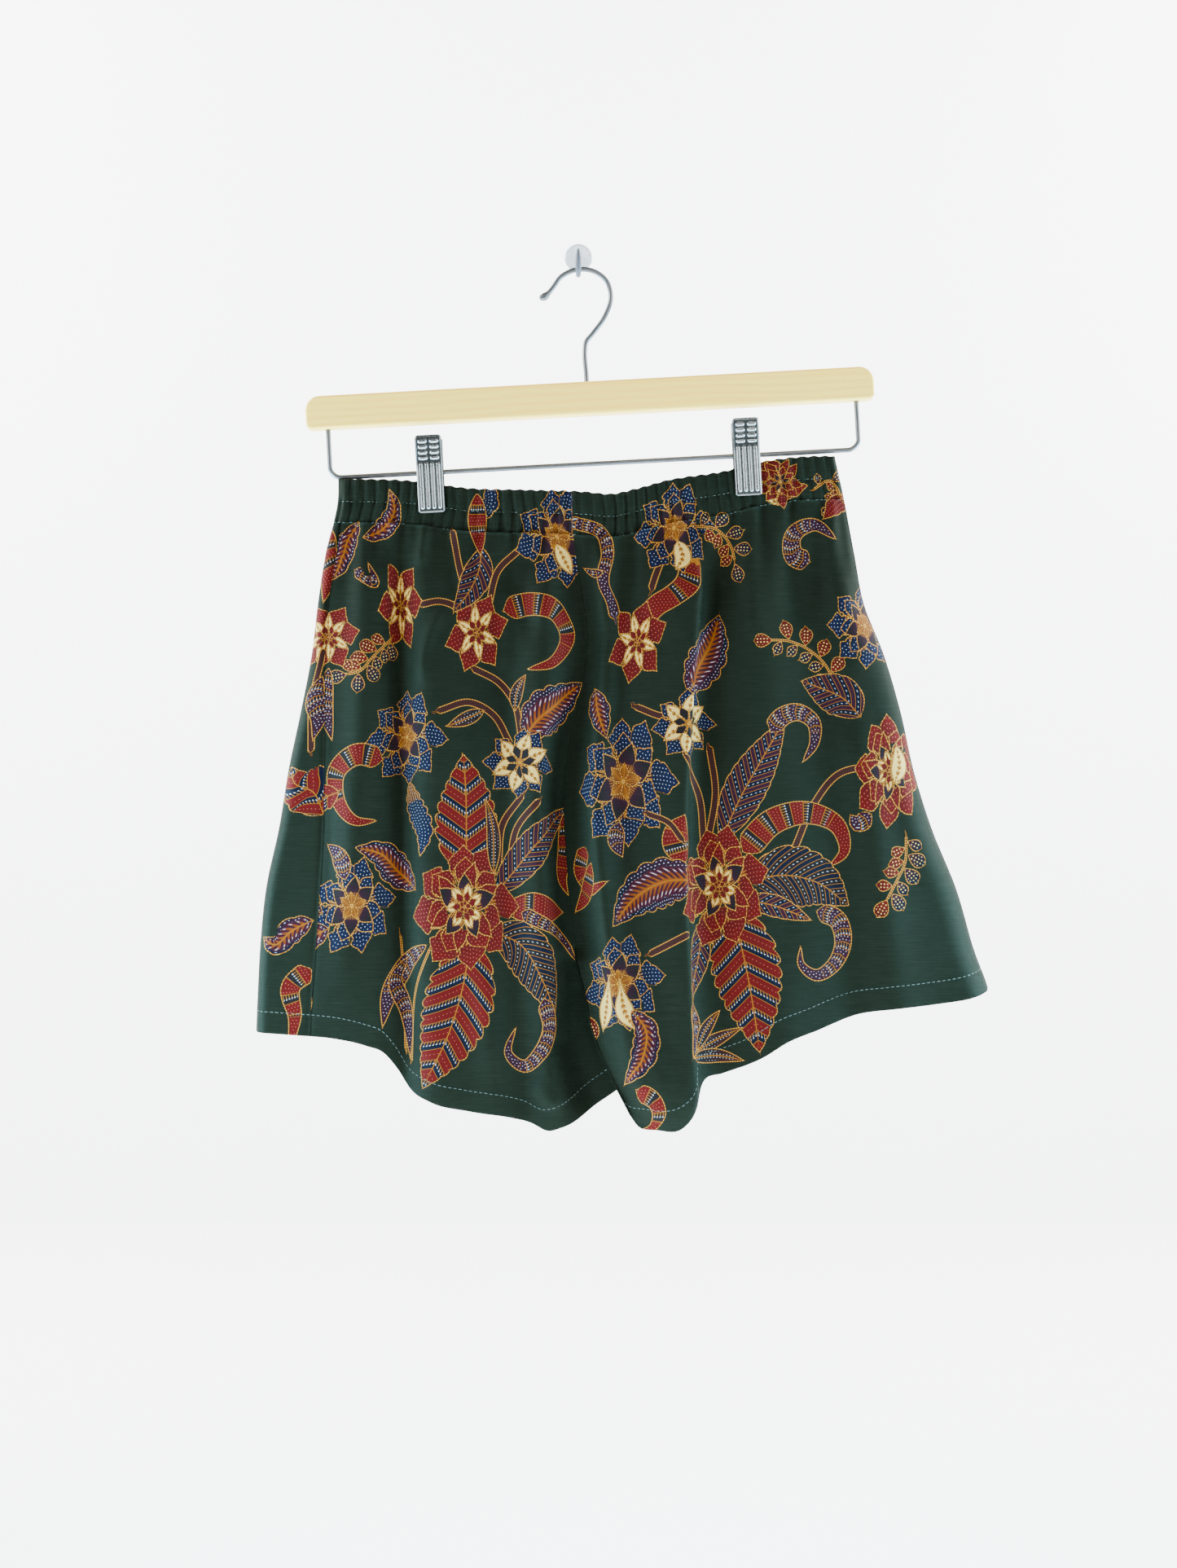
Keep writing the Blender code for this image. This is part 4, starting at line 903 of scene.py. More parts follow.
class Cloth:
    """A grid of cloth, its flat coordinates, and the motifs on each of its faces."""

    def __init__(self, name, grid, flat, shown_rows):
        self.name = name
        self.grid = grid
        self.faces, self.border = grid_faces(*grid.shape[:2])
        self.flat = flat.reshape(-1, 2)
        self.u = self.flat[self.faces, 0]
        self.v = self.flat[self.faces, 1]
        count = len(self.faces)
        self.place = np.zeros((LAYERS, count, 4, 3), np.float32)
        self.size = np.zeros((LAYERS, count, 4, 3), np.float32)
        self.used = np.zeros(count, int)
        self.shown = np.zeros(grid.shape[:2], bool)
        self.shown[shown_rows] = True

    def on_faces(self, mask):
        """The faces that have a corner in a mask of the grid, with all of those that turn inside."""
        inside = np.zeros_like(mask)
        inside[self.shown.any(axis=1).nonzero()[0][-1] :] = True
        if self.name.startswith("waist"):
            inside = inside & mask.any(axis=0)
        return (mask | inside).reshape(-1)[self.faces].any(axis=1)

    def lay(self, chosen, full, place, size):
        """Puts a motif on the chosen faces. Where it covers a face, what was there goes."""
        self.used[chosen[full]] = 0
        self.place[:, chosen[full]] = 0
        crowded = chosen[self.used[chosen] == LAYERS]
        self.place[:-1, crowded] = self.place[1:, crowded]
        self.size[:-1, crowded] = self.size[1:, crowded]
        self.used[crowded] -= 1
        layer = self.used[chosen]
        self.place[layer, chosen] = place
        self.size[layer, chosen] = size
        self.used[chosen] += 1


def flat_of(grid, middle):
    """Flat coordinates of a panel: its run along each row and its level."""
    step = np.hypot(np.diff(grid[..., 0], axis=1), np.diff(grid[..., 1], axis=1))
    run = np.concatenate([np.zeros((len(grid), 1)), np.cumsum(step, axis=1)], axis=1)
    forward = np.sign(grid[0, -1, 0] - grid[0, middle, 0])
    run = forward * (run - run[:, middle : middle + 1]) + grid[:, middle : middle + 1, 0]
    return np.stack([run, -grid[..., 2]], axis=-1)


class Field:
    """The cloth that one part of the print lies on, as it is seen from one side."""

    def __init__(self, cloths, masks, mirrored=False):
        self.cloths = [(cloth, np.flatnonzero(cloth.on_faces(mask))) for cloth, mask in zip(cloths, masks)]
        points = np.concatenate([c.grid[m] for c, m in zip(cloths, masks)])
        self.flat = np.concatenate([c.flat.reshape(*c.grid.shape[:2], 2)[m] for c, m in zip(cloths, masks)])
        if mirrored:
            self.px = HOOK_PX[0] + points[:, 0] / MM_PER_PX
            self.py = HOOK_PX[1] - points[:, 2] / MM_PER_PX
            self.depth = -points[:, 1]
        else:
            self.px, self.py = seen_px(points)
            self.depth = points[:, 1]

    def pin(self, px, py):
        """The flat place of what is seen at a pixel."""
        gap = np.hypot(self.px - px, self.py - py)
        near = np.flatnonzero(gap < max(6.0, gap.min() + 0.5))
        front = near[self.depth[near] < self.depth[near].min() + 3.0]
        weight = 1.0 / (gap[front] + 0.3) ** 2
        place = (self.flat[front] * weight[:, None]).sum(axis=0) / weight.sum()
        nearest = front[np.argmin(gap[front])]
        if gap[nearest] > 8:
            past = np.array([px - self.px[nearest], py - self.py[nearest]])
            place = self.flat[nearest] + past * MM_PER_PX
        return place


PROFILES = {
    "leaf": lambda t: np.sin(math.pi * np.clip(t, 0, 1) ** 0.8) ** 0.85,
    "petal": lambda t: (0.25 + 0.75 * ease(t / 0.55)) * (1 - np.clip((t - 0.5) / 0.5, 0, 2) ** 1.8),
    "horn": lambda t: ease(t / 0.1) ** 0.5 * (1 - np.clip(t, 0, 1)) ** 0.6,
    "sickle": lambda t: ease(t / 0.08) ** 0.5 * np.sin(math.pi * (0.5 + 0.5 * np.clip(t, 0, 1))) ** 0.6,
    "stem": lambda t: 1.0 + 0 * t,
    "drop": lambda t: np.sqrt(np.clip(np.sin(math.pi * np.clip(t, 0, 1) ** 1.5), 0, 1)),
}


def lay_strip(field, style, half_px, profile, line_px):
    """A leaf, petal, band or stem along a line of pixels."""
    pinned = np.array([field.pin(px, py) for px, py in line_px])
    lay_flat_strip(field, style, half_px * MM_PER_PX, profile, pinned)


def lay_flat_strip(field, style, half, profile, line):
    curve = resampled(line, 1.0)
    lo, hi = curve.min(axis=0) - half - 6, curve.max(axis=0) + half + 6
    for cloth, allowed in field.cloths:
        u, v = cloth.u, cloth.v
        box = ((u > lo[0]) & (u < hi[0]) & (v > lo[1]) & (v < hi[1]))[allowed].all(axis=1)
        near = allowed[box]
        if not len(near):
            continue
        s, d, length = along_curve(curve, u[near], v[near])
        width = half * PROFILES[profile](s / length)
        edge = width - np.abs(d)
        hit = (edge > -MARGIN).any(axis=1) & (np.ptp(s, axis=1) < 12)
        full = (edge > 0.3).all(axis=1)[hit]
        place = np.stack([s, d, 0 * s + style], axis=-1)[hit]
        size = np.stack([width, 0 * s + length, 0 * s], axis=-1)[hit]
        cloth.lay(near[hit], full, place, size)


def lay_ring(field, style, centre, petals, wide, outer, inner, turn, squash):
    """A ring of petals round a flat place. The petals' width goes in the fraction of their number."""
    reach = outer + 2
    for cloth, allowed in field.cloths:
        p, q = cloth.u - centre[0], -(cloth.v - centre[1])
        near = allowed[(np.hypot(p, q) < reach * 1.3)[allowed].any(axis=1)]
        if not len(near):
            continue
        p, q = p[near], q[near] / squash
        a = p * math.cos(turn) + q * math.sin(turn)
        b = q * math.cos(turn) - p * math.sin(turn)
        radius = np.hypot(a, b)
        hit = (radius < outer + 1).any(axis=1)
        full = ((radius < inner + 0.4 * (outer - inner)) & (radius > inner + 0.6)).all(axis=1)[hit]
        place = np.stack([a, b, 0 * a + style + RING_FROM], axis=-1)[hit]
        size = np.stack([0 * a + petals + wide * 0.5, 0 * a + outer, 0 * a + inner], axis=-1)[hit]
        cloth.lay(near[hit], full, place, size)


def lay_sprig(field, berries, size_px, line_px):
    """A thin curved stem with berries on both sides and at its end."""
    pinned = resampled([field.pin(px, py) for px, py in line_px], 1.0)
    lay_flat_strip(field, LINE, 0.8, "stem", pinned[:: max(1, len(pinned) // 8)])
    tangent = unit(np.gradient(pinned, axis=0))
    change = np.gradient(tangent, axis=0)
    bend = tangent[:, 0] * change[:, 1] - tangent[:, 1] * change[:, 0]
    size = size_px * MM_PER_PX
    for k in range(berries):
        i = int((k + 0.6) / berries * (len(pinned) - 1))
        side = (1.0 if k % 2 else -1.0) if k < berries - 1 else 0.0
        out = np.array([-tangent[i, 1], tangent[i, 0]]) * side * 0.95 + tangent[i] * 0.45
        out /= np.linalg.norm(out)
        inside = side * bend[i] > 0
        long = size * (0.8 if inside else 1.0)
        start = pinned[i] + out * long * 0.15
        berry = np.array([start, start + out * long * 0.6, start + out * long * 1.3])
        lay_flat_strip(field, BERRY if k % 2 else BUD, long * 0.52, "drop", berry)


def lay_flower(field, name, radius, turn, squash, centre_px):
    """A flower's rings, from the outside in."""
    centre = field.pin(*centre_px[0])
    reach = radius * MM_PER_PX
    for style, petals, wide, outer, inner, share in FLOWERS[name]:
        angle = math.radians(turn) + share * 2 * math.pi / petals
        lay_ring(field, style, centre, petals, wide, outer * reach, inner * reach, angle, squash)


def lay_motif(field, kind, *facts):
    if kind in FLOWERS:
        lay_flower(field, kind, *facts)
    elif kind == "sprig":
        lay_sprig(field, *facts)
    else:
        style, half_px, line_px = facts
        lay_strip(field, style, half_px, kind, line_px)


def on_back(line_px):
    """A line of pixels as the back has it."""
    return tuple((2 * BACK_MIDDLE_PX - px + BACK_SHIFT[0], py + BACK_SHIFT[1]) for px, py in line_px)


def lay_print(fields):
    for name, motifs in MOTIFS.items():
        behind = {"front_left": "back_right", "front_right": "back_left"}.get(name)
        for *facts, line_px in motifs:
            lay_motif(fields[name], *facts, line_px)
            if behind:
                lay_motif(fields[behind], *facts, on_back(line_px))


# Node trees


class Num:
    """A number in a node tree. Arithmetic on it adds Math nodes."""

    def __init__(self, tree, source):
        self.tree = tree
        self.source = source

    def math(self, operation, *others, clamp=False):
        node = self.tree.nodes.new("ShaderNodeMath")
        node.operation = operation
        node.use_clamp = clamp
        for socket, value in zip(node.inputs, (self, *others)):
            feed(self.tree, socket, value)
        return Num(self.tree, node.outputs[0])

    def __add__(self, other):
        return self.math("ADD", other)

    def __sub__(self, other):
        return self.math("SUBTRACT", other)

    def __mul__(self, other):
        return self.math("MULTIPLY", other)

    def __truediv__(self, other):
        return self.math("DIVIDE", other)

    def __rsub__(self, other):
        return Num(self.tree, other).math("SUBTRACT", self)

    def abs(self):
        return self.math("ABSOLUTE")

    def fract(self):
        return self.math("FRACT")

    def beat(self, pitch):
        """How far a place is from the middle of its step, where the steps are a pitch long."""
        return (self.fract() - 0.5) * pitch

    def min(self, other):
        return self.math("MINIMUM", other)

    def max(self, other):
        return self.math("MAXIMUM", other)

    def above(self, limit, soft=0.15):
        """0 below the limit and 1 above it, with a soft step."""
        return ((self - limit) / soft).math("ADD", 0.5, clamp=True)

    def below(self, limit, soft=0.15):
        return 1.0 - self.above(limit, soft)

    def hypot(self, other):
        return (self * self + other * other).math("SQRT")

    def mixed(self, other, share):
        return self + (other - self) * share


def feed(tree, socket, value):
    """Links a socket to a value, or sets it to a plain one."""
    if isinstance(value, Num):
        value = value.source
    if isinstance(value, bpy.types.NodeSocket):
        tree.links.new(value, socket)
    elif isinstance(value, (tuple, list)):
        socket.default_value = (*value, 1.0)[: len(socket.default_value)]
    else:
        socket.default_value = value


def linear(colour):
    """An 8-bit display colour as the shader's own."""
    return tuple((c / 255 / 12.92) if c < 11 else ((c / 255 + 0.055) / 1.055) ** 2.4 for c in colour)


def blended(tree, kind, share, below, above):
    node = tree.nodes.new("ShaderNodeMix")
    node.data_type = "RGBA" if kind == "Color" else "VECTOR"
    sockets = {socket.identifier: socket for socket in (*node.inputs, *node.outputs)}
    for name, value in (("Factor_Float", share), (f"A_{kind}", below), (f"B_{kind}", above)):
        feed(tree, sockets[name], value)
    return sockets[f"Result_{kind}"]


def over(tree, share, below, above):
    """One colour over another."""
    return blended(tree, "Color", share, below, above)


def split(tree, socket):
    node = tree.nodes.new("ShaderNodeSeparateXYZ")
    tree.links.new(socket, node.inputs[0])
    return [Num(tree, out) for out in node.outputs]


def style_table(tree, style, colours):
    """The colour that a table of styles holds at a style's number."""
    node = tree.nodes.new("ShaderNodeValToRGB")
    ramp = node.color_ramp
    ramp.interpolation = "CONSTANT"
    ramp.elements[0].position = 0.0
    ramp.elements[1].position = (STYLE_SLOTS - 1) / STYLE_SLOTS
    for number in sorted(colours):
        place = ramp.elements.new(number / STYLE_SLOTS)
        place.color = (*colours[number], 1.0)
    feed(tree, node.inputs[0], (style + 0.5) / STYLE_SLOTS)
    return node.outputs["Color"]


def style_column(name):
    return {number: row[STYLE_COLUMNS.index(name)] for number, row in STYLES.items()}


def shade(tree, style, column):
    return style_table(tree, style, style_column(column))


def style_numbers(tree, style, names):
    """Three numeric columns of the styles."""
    columns = [style_column(name) for name in names]
    packed = {number: tuple(column[number] / STYLE_RANGE for column in columns) for number in STYLES}
    return [number * STYLE_RANGE for number in split(tree, style_table(tree, style, packed))]


def node_group(name, sockets):
    tree = bpy.data.node_groups.new(name, "ShaderNodeTree")
    for socket, way, kind in sockets:
        tree.interface.new_socket(name=socket, in_out=way, socket_type=kind)
    return tree, tree.nodes.new("NodeGroupInput"), tree.nodes.new("NodeGroupOutput")


def joined(tree, x, y, z):
    node = tree.nodes.new("ShaderNodeCombineXYZ")
    for socket, value in zip(node.inputs, (x, y, z)):
        feed(tree, socket, value)
    return node.outputs[0]


def chance(number, seed):
    """A number from 0 to 1 that differs from one whole number to the next."""
    return ((number * 12.9898 + seed).math("SINE") * 43758.547).fract()


def shape_group():
    """A node group that finds where a place lies in its motif, and whether the motif covers it."""
    tree, given, made = node_group("motif_shape", (
        ("Place", "INPUT", "NodeSocketVector"),
        ("Size", "INPUT", "NodeSocketVector"),
        ("Where", "OUTPUT", "NodeSocketVector"),
        ("Kind", "OUTPUT", "NodeSocketVector"),
        ("Cover", "OUTPUT", "NodeSocketFloat"),
    ))
    first, second, kind = split(tree, given.outputs["Place"])
    width, length, inner = split(tree, given.outputs["Size"])
    ring = kind.above(RING_FROM - 0.5, 0.02)
    style = (kind - ring * RING_FROM).math("ROUND")
    slope, period, lobe = style_numbers(tree, style, ("slope", "period", "lobe"))

    petals = width.math("FLOOR").max(1.0)
    wide = width.fract() * 2.0
    sector = Num(tree, 2 * math.pi) / petals
    angle = second.math("ARCTAN2", first)
    petal = (angle / sector).math("ROUND")
    turn = angle - petal * sector
    petal = petal - (petal / petals).math("FLOOR") * petals + petals * 7.0
    radius = first.hypot(second)
    room = radius * (sector * 0.5 - turn.abs()).math("SINE")
    turn = turn - (chance(petal, 1.3) - 0.5) * sector * 0.2
    ring_length = (length - inner).max(0.1) * (chance(petal, 2.1) * 0.24 + 0.76)
    ring_along = radius * turn.math("COSINE") - inner
    reach = ring_along / ring_length
    bend = (chance(petal, 4.7) - 0.5) * reach.abs() * ring_along * 0.5
    ring_across = radius * turn.math("SINE") - bend
    tip = ((reach - 0.32) / 0.68).math("ADD", 0.0, clamp=True)
    taper = (1.0 - tip).math("POWER", 1.3) * (tip * 1.35 + 1.0)
    spread = (sector * 0.5).math("TANGENT")
    ring_width = (inner + ring_length * 0.62) * spread * taper * wide
    ring_width = ring_width.min((ring_along + inner) * spread)

    along = first.mixed(ring_along, ring)
    across = second.mixed(ring_across, ring)
    whole = length.mixed(ring_length, ring)
    half = width.mixed(ring_width, ring)
    slanted = along - across.abs() * slope
    bulge = (slanted / period.min(9.0)).fract()
    bulge = bulge * (1.0 - bulge) * 4.0
    edge = half * (1.0 - lobe * (1.0 - bulge)) - across.abs()
    edge = edge.min(along + (1.0 - ring) * ALWAYS).min(room + 0.5 + (1.0 - ring) * ALWAYS)
    fine = ((inner + ring_length * 0.62) * spread * wide / 3.2).max(0.4).min(1.0)
    edge = edge / Num(tree, 1.0).mixed(fine, ring)
    feed(tree, made.inputs["Where"], joined(tree, along, across, edge))
    feed(tree, made.inputs["Kind"], joined(tree, along / whole.max(0.1), style, ring))
    feed(tree, made.inputs["Cover"], edge.above(0.0, 0.02) * kind.above(0.5, 0.02))
    return tree


def colour_group():
    """A node group that colours a motif by the place in it."""
    tree, given, made = node_group("motif_colour", (
        ("Where", "INPUT", "NodeSocketVector"),
        ("Kind", "INPUT", "NodeSocketVector"),
        ("Colour", "OUTPUT", "NodeSocketColor"),
    ))
    along, signed, edge = split(tree, given.outputs["Where"])
    share, style, _ = split(tree, given.outputs["Kind"])
    across = signed.abs()
    banded, slope, period = style_numbers(tree, style, ("banded", "slope", "period"))
    core_share, dot_size, vein = style_numbers(tree, style, ("core_share", "dot_size", "vein"))
    hatch, comb, _ = style_numbers(tree, style, ("hatch", "comb", "lobe"))

    slanted = along - across * slope
    veined = slope.above(0.5, 0.02)
    band = (slanted / period).fract()
    banding = band.above(BAND_SHARE, 0.03) * share.below(0.62, 0.02).max(veined)
    tone = (share * 1.9 - 0.4).math("ADD", 0.0, clamp=True).mixed(banding, banded)
    colour = over(tree, tone, shade(tree, style, "fill"), shade(tree, style, "second"))

    row = across.mixed(slanted, banded) / DOT_PITCH
    place = along.mixed(across, banded) / DOT_PITCH + row.math("FLOOR") * 0.5 * (1.0 - veined)
    off = row.beat(DOT_PITCH).mixed((band - BAND_DOTS) * period, veined)
    dot = off.hypot(place.beat(DOT_PITCH))
    combed = comb * banding
    dots = dot.below(dot_size) * edge.above(1.5) * dot_size.above(0.1, 0.02) * (1.0 - combed)
    colour = over(tree, dots, colour, shade(tree, style, "dot"))

    teeth_at = (across / TOOTH_PITCH).beat(TOOTH_PITCH)
    into = (band - BAND_SHARE) * period
    tooth = teeth_at.abs().below(0.2) * into.below(TOOTH_LENGTH)
    drop = teeth_at.hypot(into - TOOTH_DROP).below(0.40)
    colour = over(tree, tooth * combed, colour, GOLD)
    colour = over(tree, drop * combed * edge.above(1.2), colour, WHITE_DOT)

    full_width = edge + across
    core = across / (full_width * core_share).max(0.2)
    finger = (((along - across * 0.9) / FINGER_PITCH).fract() - 0.5).abs() * 2.0
    solid = core.below(0.16).max(finger.below(0.52) * core.below(1.0))
    feathered = core_share.above(0.05, 0.02) * share.above(0.1, 0.02) * share.below(0.93, 0.02)
    halo = core.below(1.12) * feathered
    colour = over(tree, halo, colour, shade(tree, style, "fill"))
    lit = over(tree, (core - 0.25) * 1.6, shade(tree, style, "core"), CARMINE)
    colour = over(tree, solid * feathered, colour, lit)
    bright = finger.below(0.2) * core.above(0.7) * core.below(0.9)
    colour = over(tree, bright * feathered, colour, shade(tree, style, "dot"))

    strand = ((signed / full_width.max(0.3) * 3.5).fract() - 0.5).abs().below(0.2)
    hatched = share.below(0.0, 0.04).max((hatch - share).above(0.0, 0.05))
    strands = strand * hatched * hatch.above(0.05, 0.02)
    colour = over(tree, strands, colour, shade(tree, style, "core"))
    band_edge = band.min((band - BAND_SHARE).abs()).min(1.0 - band) * period
    ruled = banded * share.below(0.66, 0.02).max(veined)
    lines = (band_edge.below(0.19) * ruled).max(across.below(0.3) * vein * share.below(0.9))
    colour = over(tree, lines, colour, GOLD)

    colour = over(tree, edge.below(INK_EDGE), colour, INK)
    beads = (along / BEAD_PITCH).beat(BEAD_PITCH).hypot(edge - 0.3).below(0.24)
    colour = over(tree, edge.below(OUTLINE), colour, over(tree, beads, GOLD, BEAD))
    feed(tree, made.inputs["Colour"], colour)
    return tree


def new_material(name):
    material = bpy.data.materials.new(name)
    material.use_nodes = True
    tree = material.node_tree
    return material, tree, tree.nodes["Principled BSDF"]


def dress(tree, surface, settings):
    """Sets or links several of a shader's inputs."""
    for name, value in settings.items():
        feed(tree, surface.inputs[name], value)


def object_place(tree):
    return tree.nodes.new("ShaderNodeTexCoord").outputs["Object"]


def attribute(tree, name):
    node = tree.nodes.new("ShaderNodeAttribute")
    node.attribute_name = name
    return node.outputs["Vector"]


def noise(tree, vector, scale, detail=2.0, rough=0.5):
    node = tree.nodes.new("ShaderNodeTexNoise")
    dress(tree, node, {"Scale": scale, "Detail": detail, "Roughness": rough, "Vector": vector})
    return Num(tree, node.outputs[0])


def streaks(tree, vector, factors, detail, rough=0.5):
    """Noise that is drawn out or squeezed along each axis."""
    node = tree.nodes.new("ShaderNodeVectorMath")
    node.operation = "MULTIPLY"
    feed(tree, node.inputs[0], vector)
    feed(tree, node.inputs[1], factors)
    return noise(tree, node.outputs[0], 1.0, detail, rough)


def bump(tree, surface, height, distance_mm, strength):
    node = tree.nodes.new("ShaderNodeBump")
    dress(tree, node, {"Distance": distance_mm * MM, "Strength": strength, "Height": height})
    feed(tree, surface.inputs["Normal"], node.outputs["Normal"])


def group_node(tree, group):
    node = tree.nodes.new("ShaderNodeGroup")
    node.node_tree = group
    return node


def batik_material(shape, colouring):
    """Printed rayon: the ground, the topmost motif on it, a plain weave and a soft sheen."""
    material, tree, surface = new_material("batik_print")
    flat = attribute(tree, "flat")
    blotch = noise(tree, flat, 0.012, 3.0) * 0.8 + noise(tree, flat, 0.11, 2.0) * 0.35 - 0.12
    where = kind = (0.0, 0.0, 0.0)
    cover = Num(tree, 0.0)
    for layer in range(LAYERS):
        motif = group_node(tree, shape)
        for name in ("Place", "Size"):
            feed(tree, motif.inputs[name], attribute(tree, f"{name.lower()}_{layer}"))
        covers = Num(tree, motif.outputs["Cover"])
        where = blended(tree, "Vector", covers, where, motif.outputs["Where"])
        kind = blended(tree, "Vector", covers, kind, motif.outputs["Kind"])
        cover = cover.max(covers)
    motif = group_node(tree, colouring)
    dress(tree, motif, {"Where": where, "Kind": kind})
    ground = over(tree, blotch, GROUND, GROUND_LIGHT)
    colour = over(tree, cover, ground, motif.outputs["Colour"])
    u, v, _ = split(tree, flat)
    turn = 2 * math.pi / WEAVE_PITCH
    threads = (u * turn).math("SINE") * (v * turn).math("SINE")
    slub = streaks(tree, flat, (0.05, 1.4, 1.0), 2.0)
    dress(tree, surface, {
        "Base Color": over(tree, (slub - 0.4) * 0.5, colour, SLUB_COLOUR),
        "Roughness": 0.62 - slub * 0.12,
        "Specular IOR Level": 0.04,
        "Specular Tint": (0.80, 1.0, 0.78),
        "Sheen Weight": 0.009,
        "Sheen Roughness": 0.75,
        "Sheen Tint": (0.46, 0.85, 0.82),
    })
    bump(tree, surface, threads * 0.35 + slub * 1.2, 0.12, 0.6)
    return material


def pine_material():
    """Pale varnished pine with its grain along X."""
    material, tree, surface = new_material("pine_grain")
    position = object_place(tree)
    wander = streaks(tree, position, (5.0, 30.0, 30.0), 2.0)
    x, y, z = split(tree, position)
    rings = ((z - x * 0.054) * 1400.0 + y * 500.0 + wander * 16.0).math("SINE") * 0.5 + 0.5
    rings = rings.math("POWER", 2.2)
    fibres = streaks(tree, position, (18.0, 900.0, 900.0), 3.0, 0.6)
    stain = streaks(tree, position, (9.0, 20.0, 20.0), 1.0)
    colour = over(tree, rings * 0.75, PINE_LIGHT, PINE_RING)
    colour = over(tree, (fibres - 0.45) * 1.0, colour, PINE_FIBRE)
    colour = over(tree, (stain - 0.45) * 0.8, colour, PINE_STAIN)
    dress(tree, surface, {
        "Base Color": colour,
        "Roughness": fibres * 0.2 + 0.36,
        "Coat Weight": 0.05,
        "Coat Roughness": 0.3,
    })
    bump(tree, surface, fibres + rings * 0.4, 0.1, 0.5)
    return material


def chrome_material(name, dark, light, roughness, painted_highlight=None):
    """Bright metal. Where a vertex attribute is named, its colour follows it: a painted highlight on raised
    places and painted shade between them.
    """
    material, tree, surface = new_material(name)
    haze = streaks(tree, object_place(tree), (900.0, 900.0, 120.0), 3.0)
    # The named attribute paints highlights on raised places and shade between them; streaky haze adds a
    # little.
    share = split(tree, attribute(tree, painted_highlight))[0] * 0.9 + haze * 0.1 if painted_highlight else haze
    dress(tree, surface, {
        "Base Color": over(tree, share, dark, light),
        "Metallic": 1.0,
        "Specular Tint": (0.30, 0.32, 0.34),
        "Roughness": haze * 0.06 + roughness,
    })
    return material


def mottled_material(name, grain, colours, roughness, **settings):
    """A material whose colour and roughness wander. Grain is the noise's scale and detail."""
    material, tree, surface = new_material(name)
    mottle = noise(tree, object_place(tree), *grain)
    dress(tree, surface, {
        "Base Color": over(tree, mottle, *colours),
        "Roughness": mottle * roughness[1] + roughness[0],
    })
    dress(tree, surface, {key.replace("_", " "): value for key, value in settings.items()})
    return material


def stage_material(name):
    material, tree, surface = new_material(name)
    dress(tree, surface, {"Base Color": STAGE_COLOUR, "Roughness": 0.9})
    return material


# Building


def new_object(name, mesh, material, slot=None, replaced=()):
    """A piece of the part, riding on its body and standing for its CAD nodes."""
    mesh.materials.append(material)
    obj = bpy.data.objects.new(name, mesh)
    bpy.context.scene.collection.objects.link(obj)
    if slot:
        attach(obj, BODY)
    if replaced:
        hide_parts(*replaced)
    return obj


def normals_of(grid):
    """Unit normals of a grid surface."""
    return unit(np.cross(np.gradient(grid, axis=1), np.gradient(grid, axis=0)), 1e-12)


def scaled(point):
    """A point in metres."""
    return [c * MM for c in point]


def write_mesh(work, mesh, sharp_above=None):
    """Writes a working mesh with its normals outward, shaded smooth apart from sharp edges."""
    bmesh.ops.recalc_face_normals(work, faces=work.faces)
    work.to_mesh(mesh)
    work.free()
    mesh.shade_smooth()
    if sharp_above:
        mesh.set_sharp_from_angle(angle=math.radians(sharp_above))


def cloth_object(cloth, thickness, material, outward, replaced):
    """A thin shell about a cloth's grid: both faces, the rim, its print and its flat map."""
    grid = cloth.grid
    offset = normals_of(grid) * thickness / 2 * (1 if outward else -1)
    points = np.concatenate([(grid + offset).reshape(-1, 3), (grid - offset).reshape(-1, 3)]) * MM
    count = len(cloth.flat)
    order = (3, 2, 1, 0) if outward else (0, 1, 2, 3)
    front = cloth.faces[:, order]
    rim = rim_faces(cloth.border, count)
    if not outward:
        rim = rim[:, ::-1]
    faces = np.concatenate([front[:, ::-1], front + count, rim])
    mesh = bpy.data.meshes.new(cloth.name + "_cloth")
    mesh.from_pydata(points.tolist(), [], faces.tolist())
    mesh.shade_smooth()

    def on_corners(values, width):
        """Per-corner values of both faces and the rim, which takes none."""
        shown = values[:, order]
        blank = np.zeros((len(rim), 4, width), np.float32)
        return np.concatenate([shown[:, ::-1], shown, blank]).reshape(-1)

    flat = np.stack([cloth.u, cloth.v, 0 * cloth.u], axis=-1)
    save_vectors(mesh, "flat", on_corners(flat, 3))
    for layer in range(LAYERS):
        save_vectors(mesh, f"place_{layer}", on_corners(cloth.place[layer], 3))
        save_vectors(mesh, f"size_{layer}", on_corners(cloth.size[layer], 3))
    low = cloth.flat.min(axis=0)
    span = cloth.flat.max(axis=0) - low
    shrink = 0.98 / max(2 * span[0] + 10, span[1])
    outer = (flat[..., :2] - low) * shrink + 0.01
    inner = outer + [(span[0] + 8) * shrink, 0.0]
    pairs = np.concatenate([outer[:, order][:, ::-1], inner[:, order], np.zeros((len(rim), 4, 2))])
    mesh.uv_layers.new(name="OFBake").data.foreach_set("uv", pairs.astype(np.float32).reshape(-1))
    return new_object(cloth.name + "_cloth", mesh, material, "batik", replaced)


def save_vectors(mesh, name, values):
    layer = mesh.attributes.new(name, "FLOAT_VECTOR", "CORNER")
    layer.data.foreach_set("vector", values.astype(np.float32))


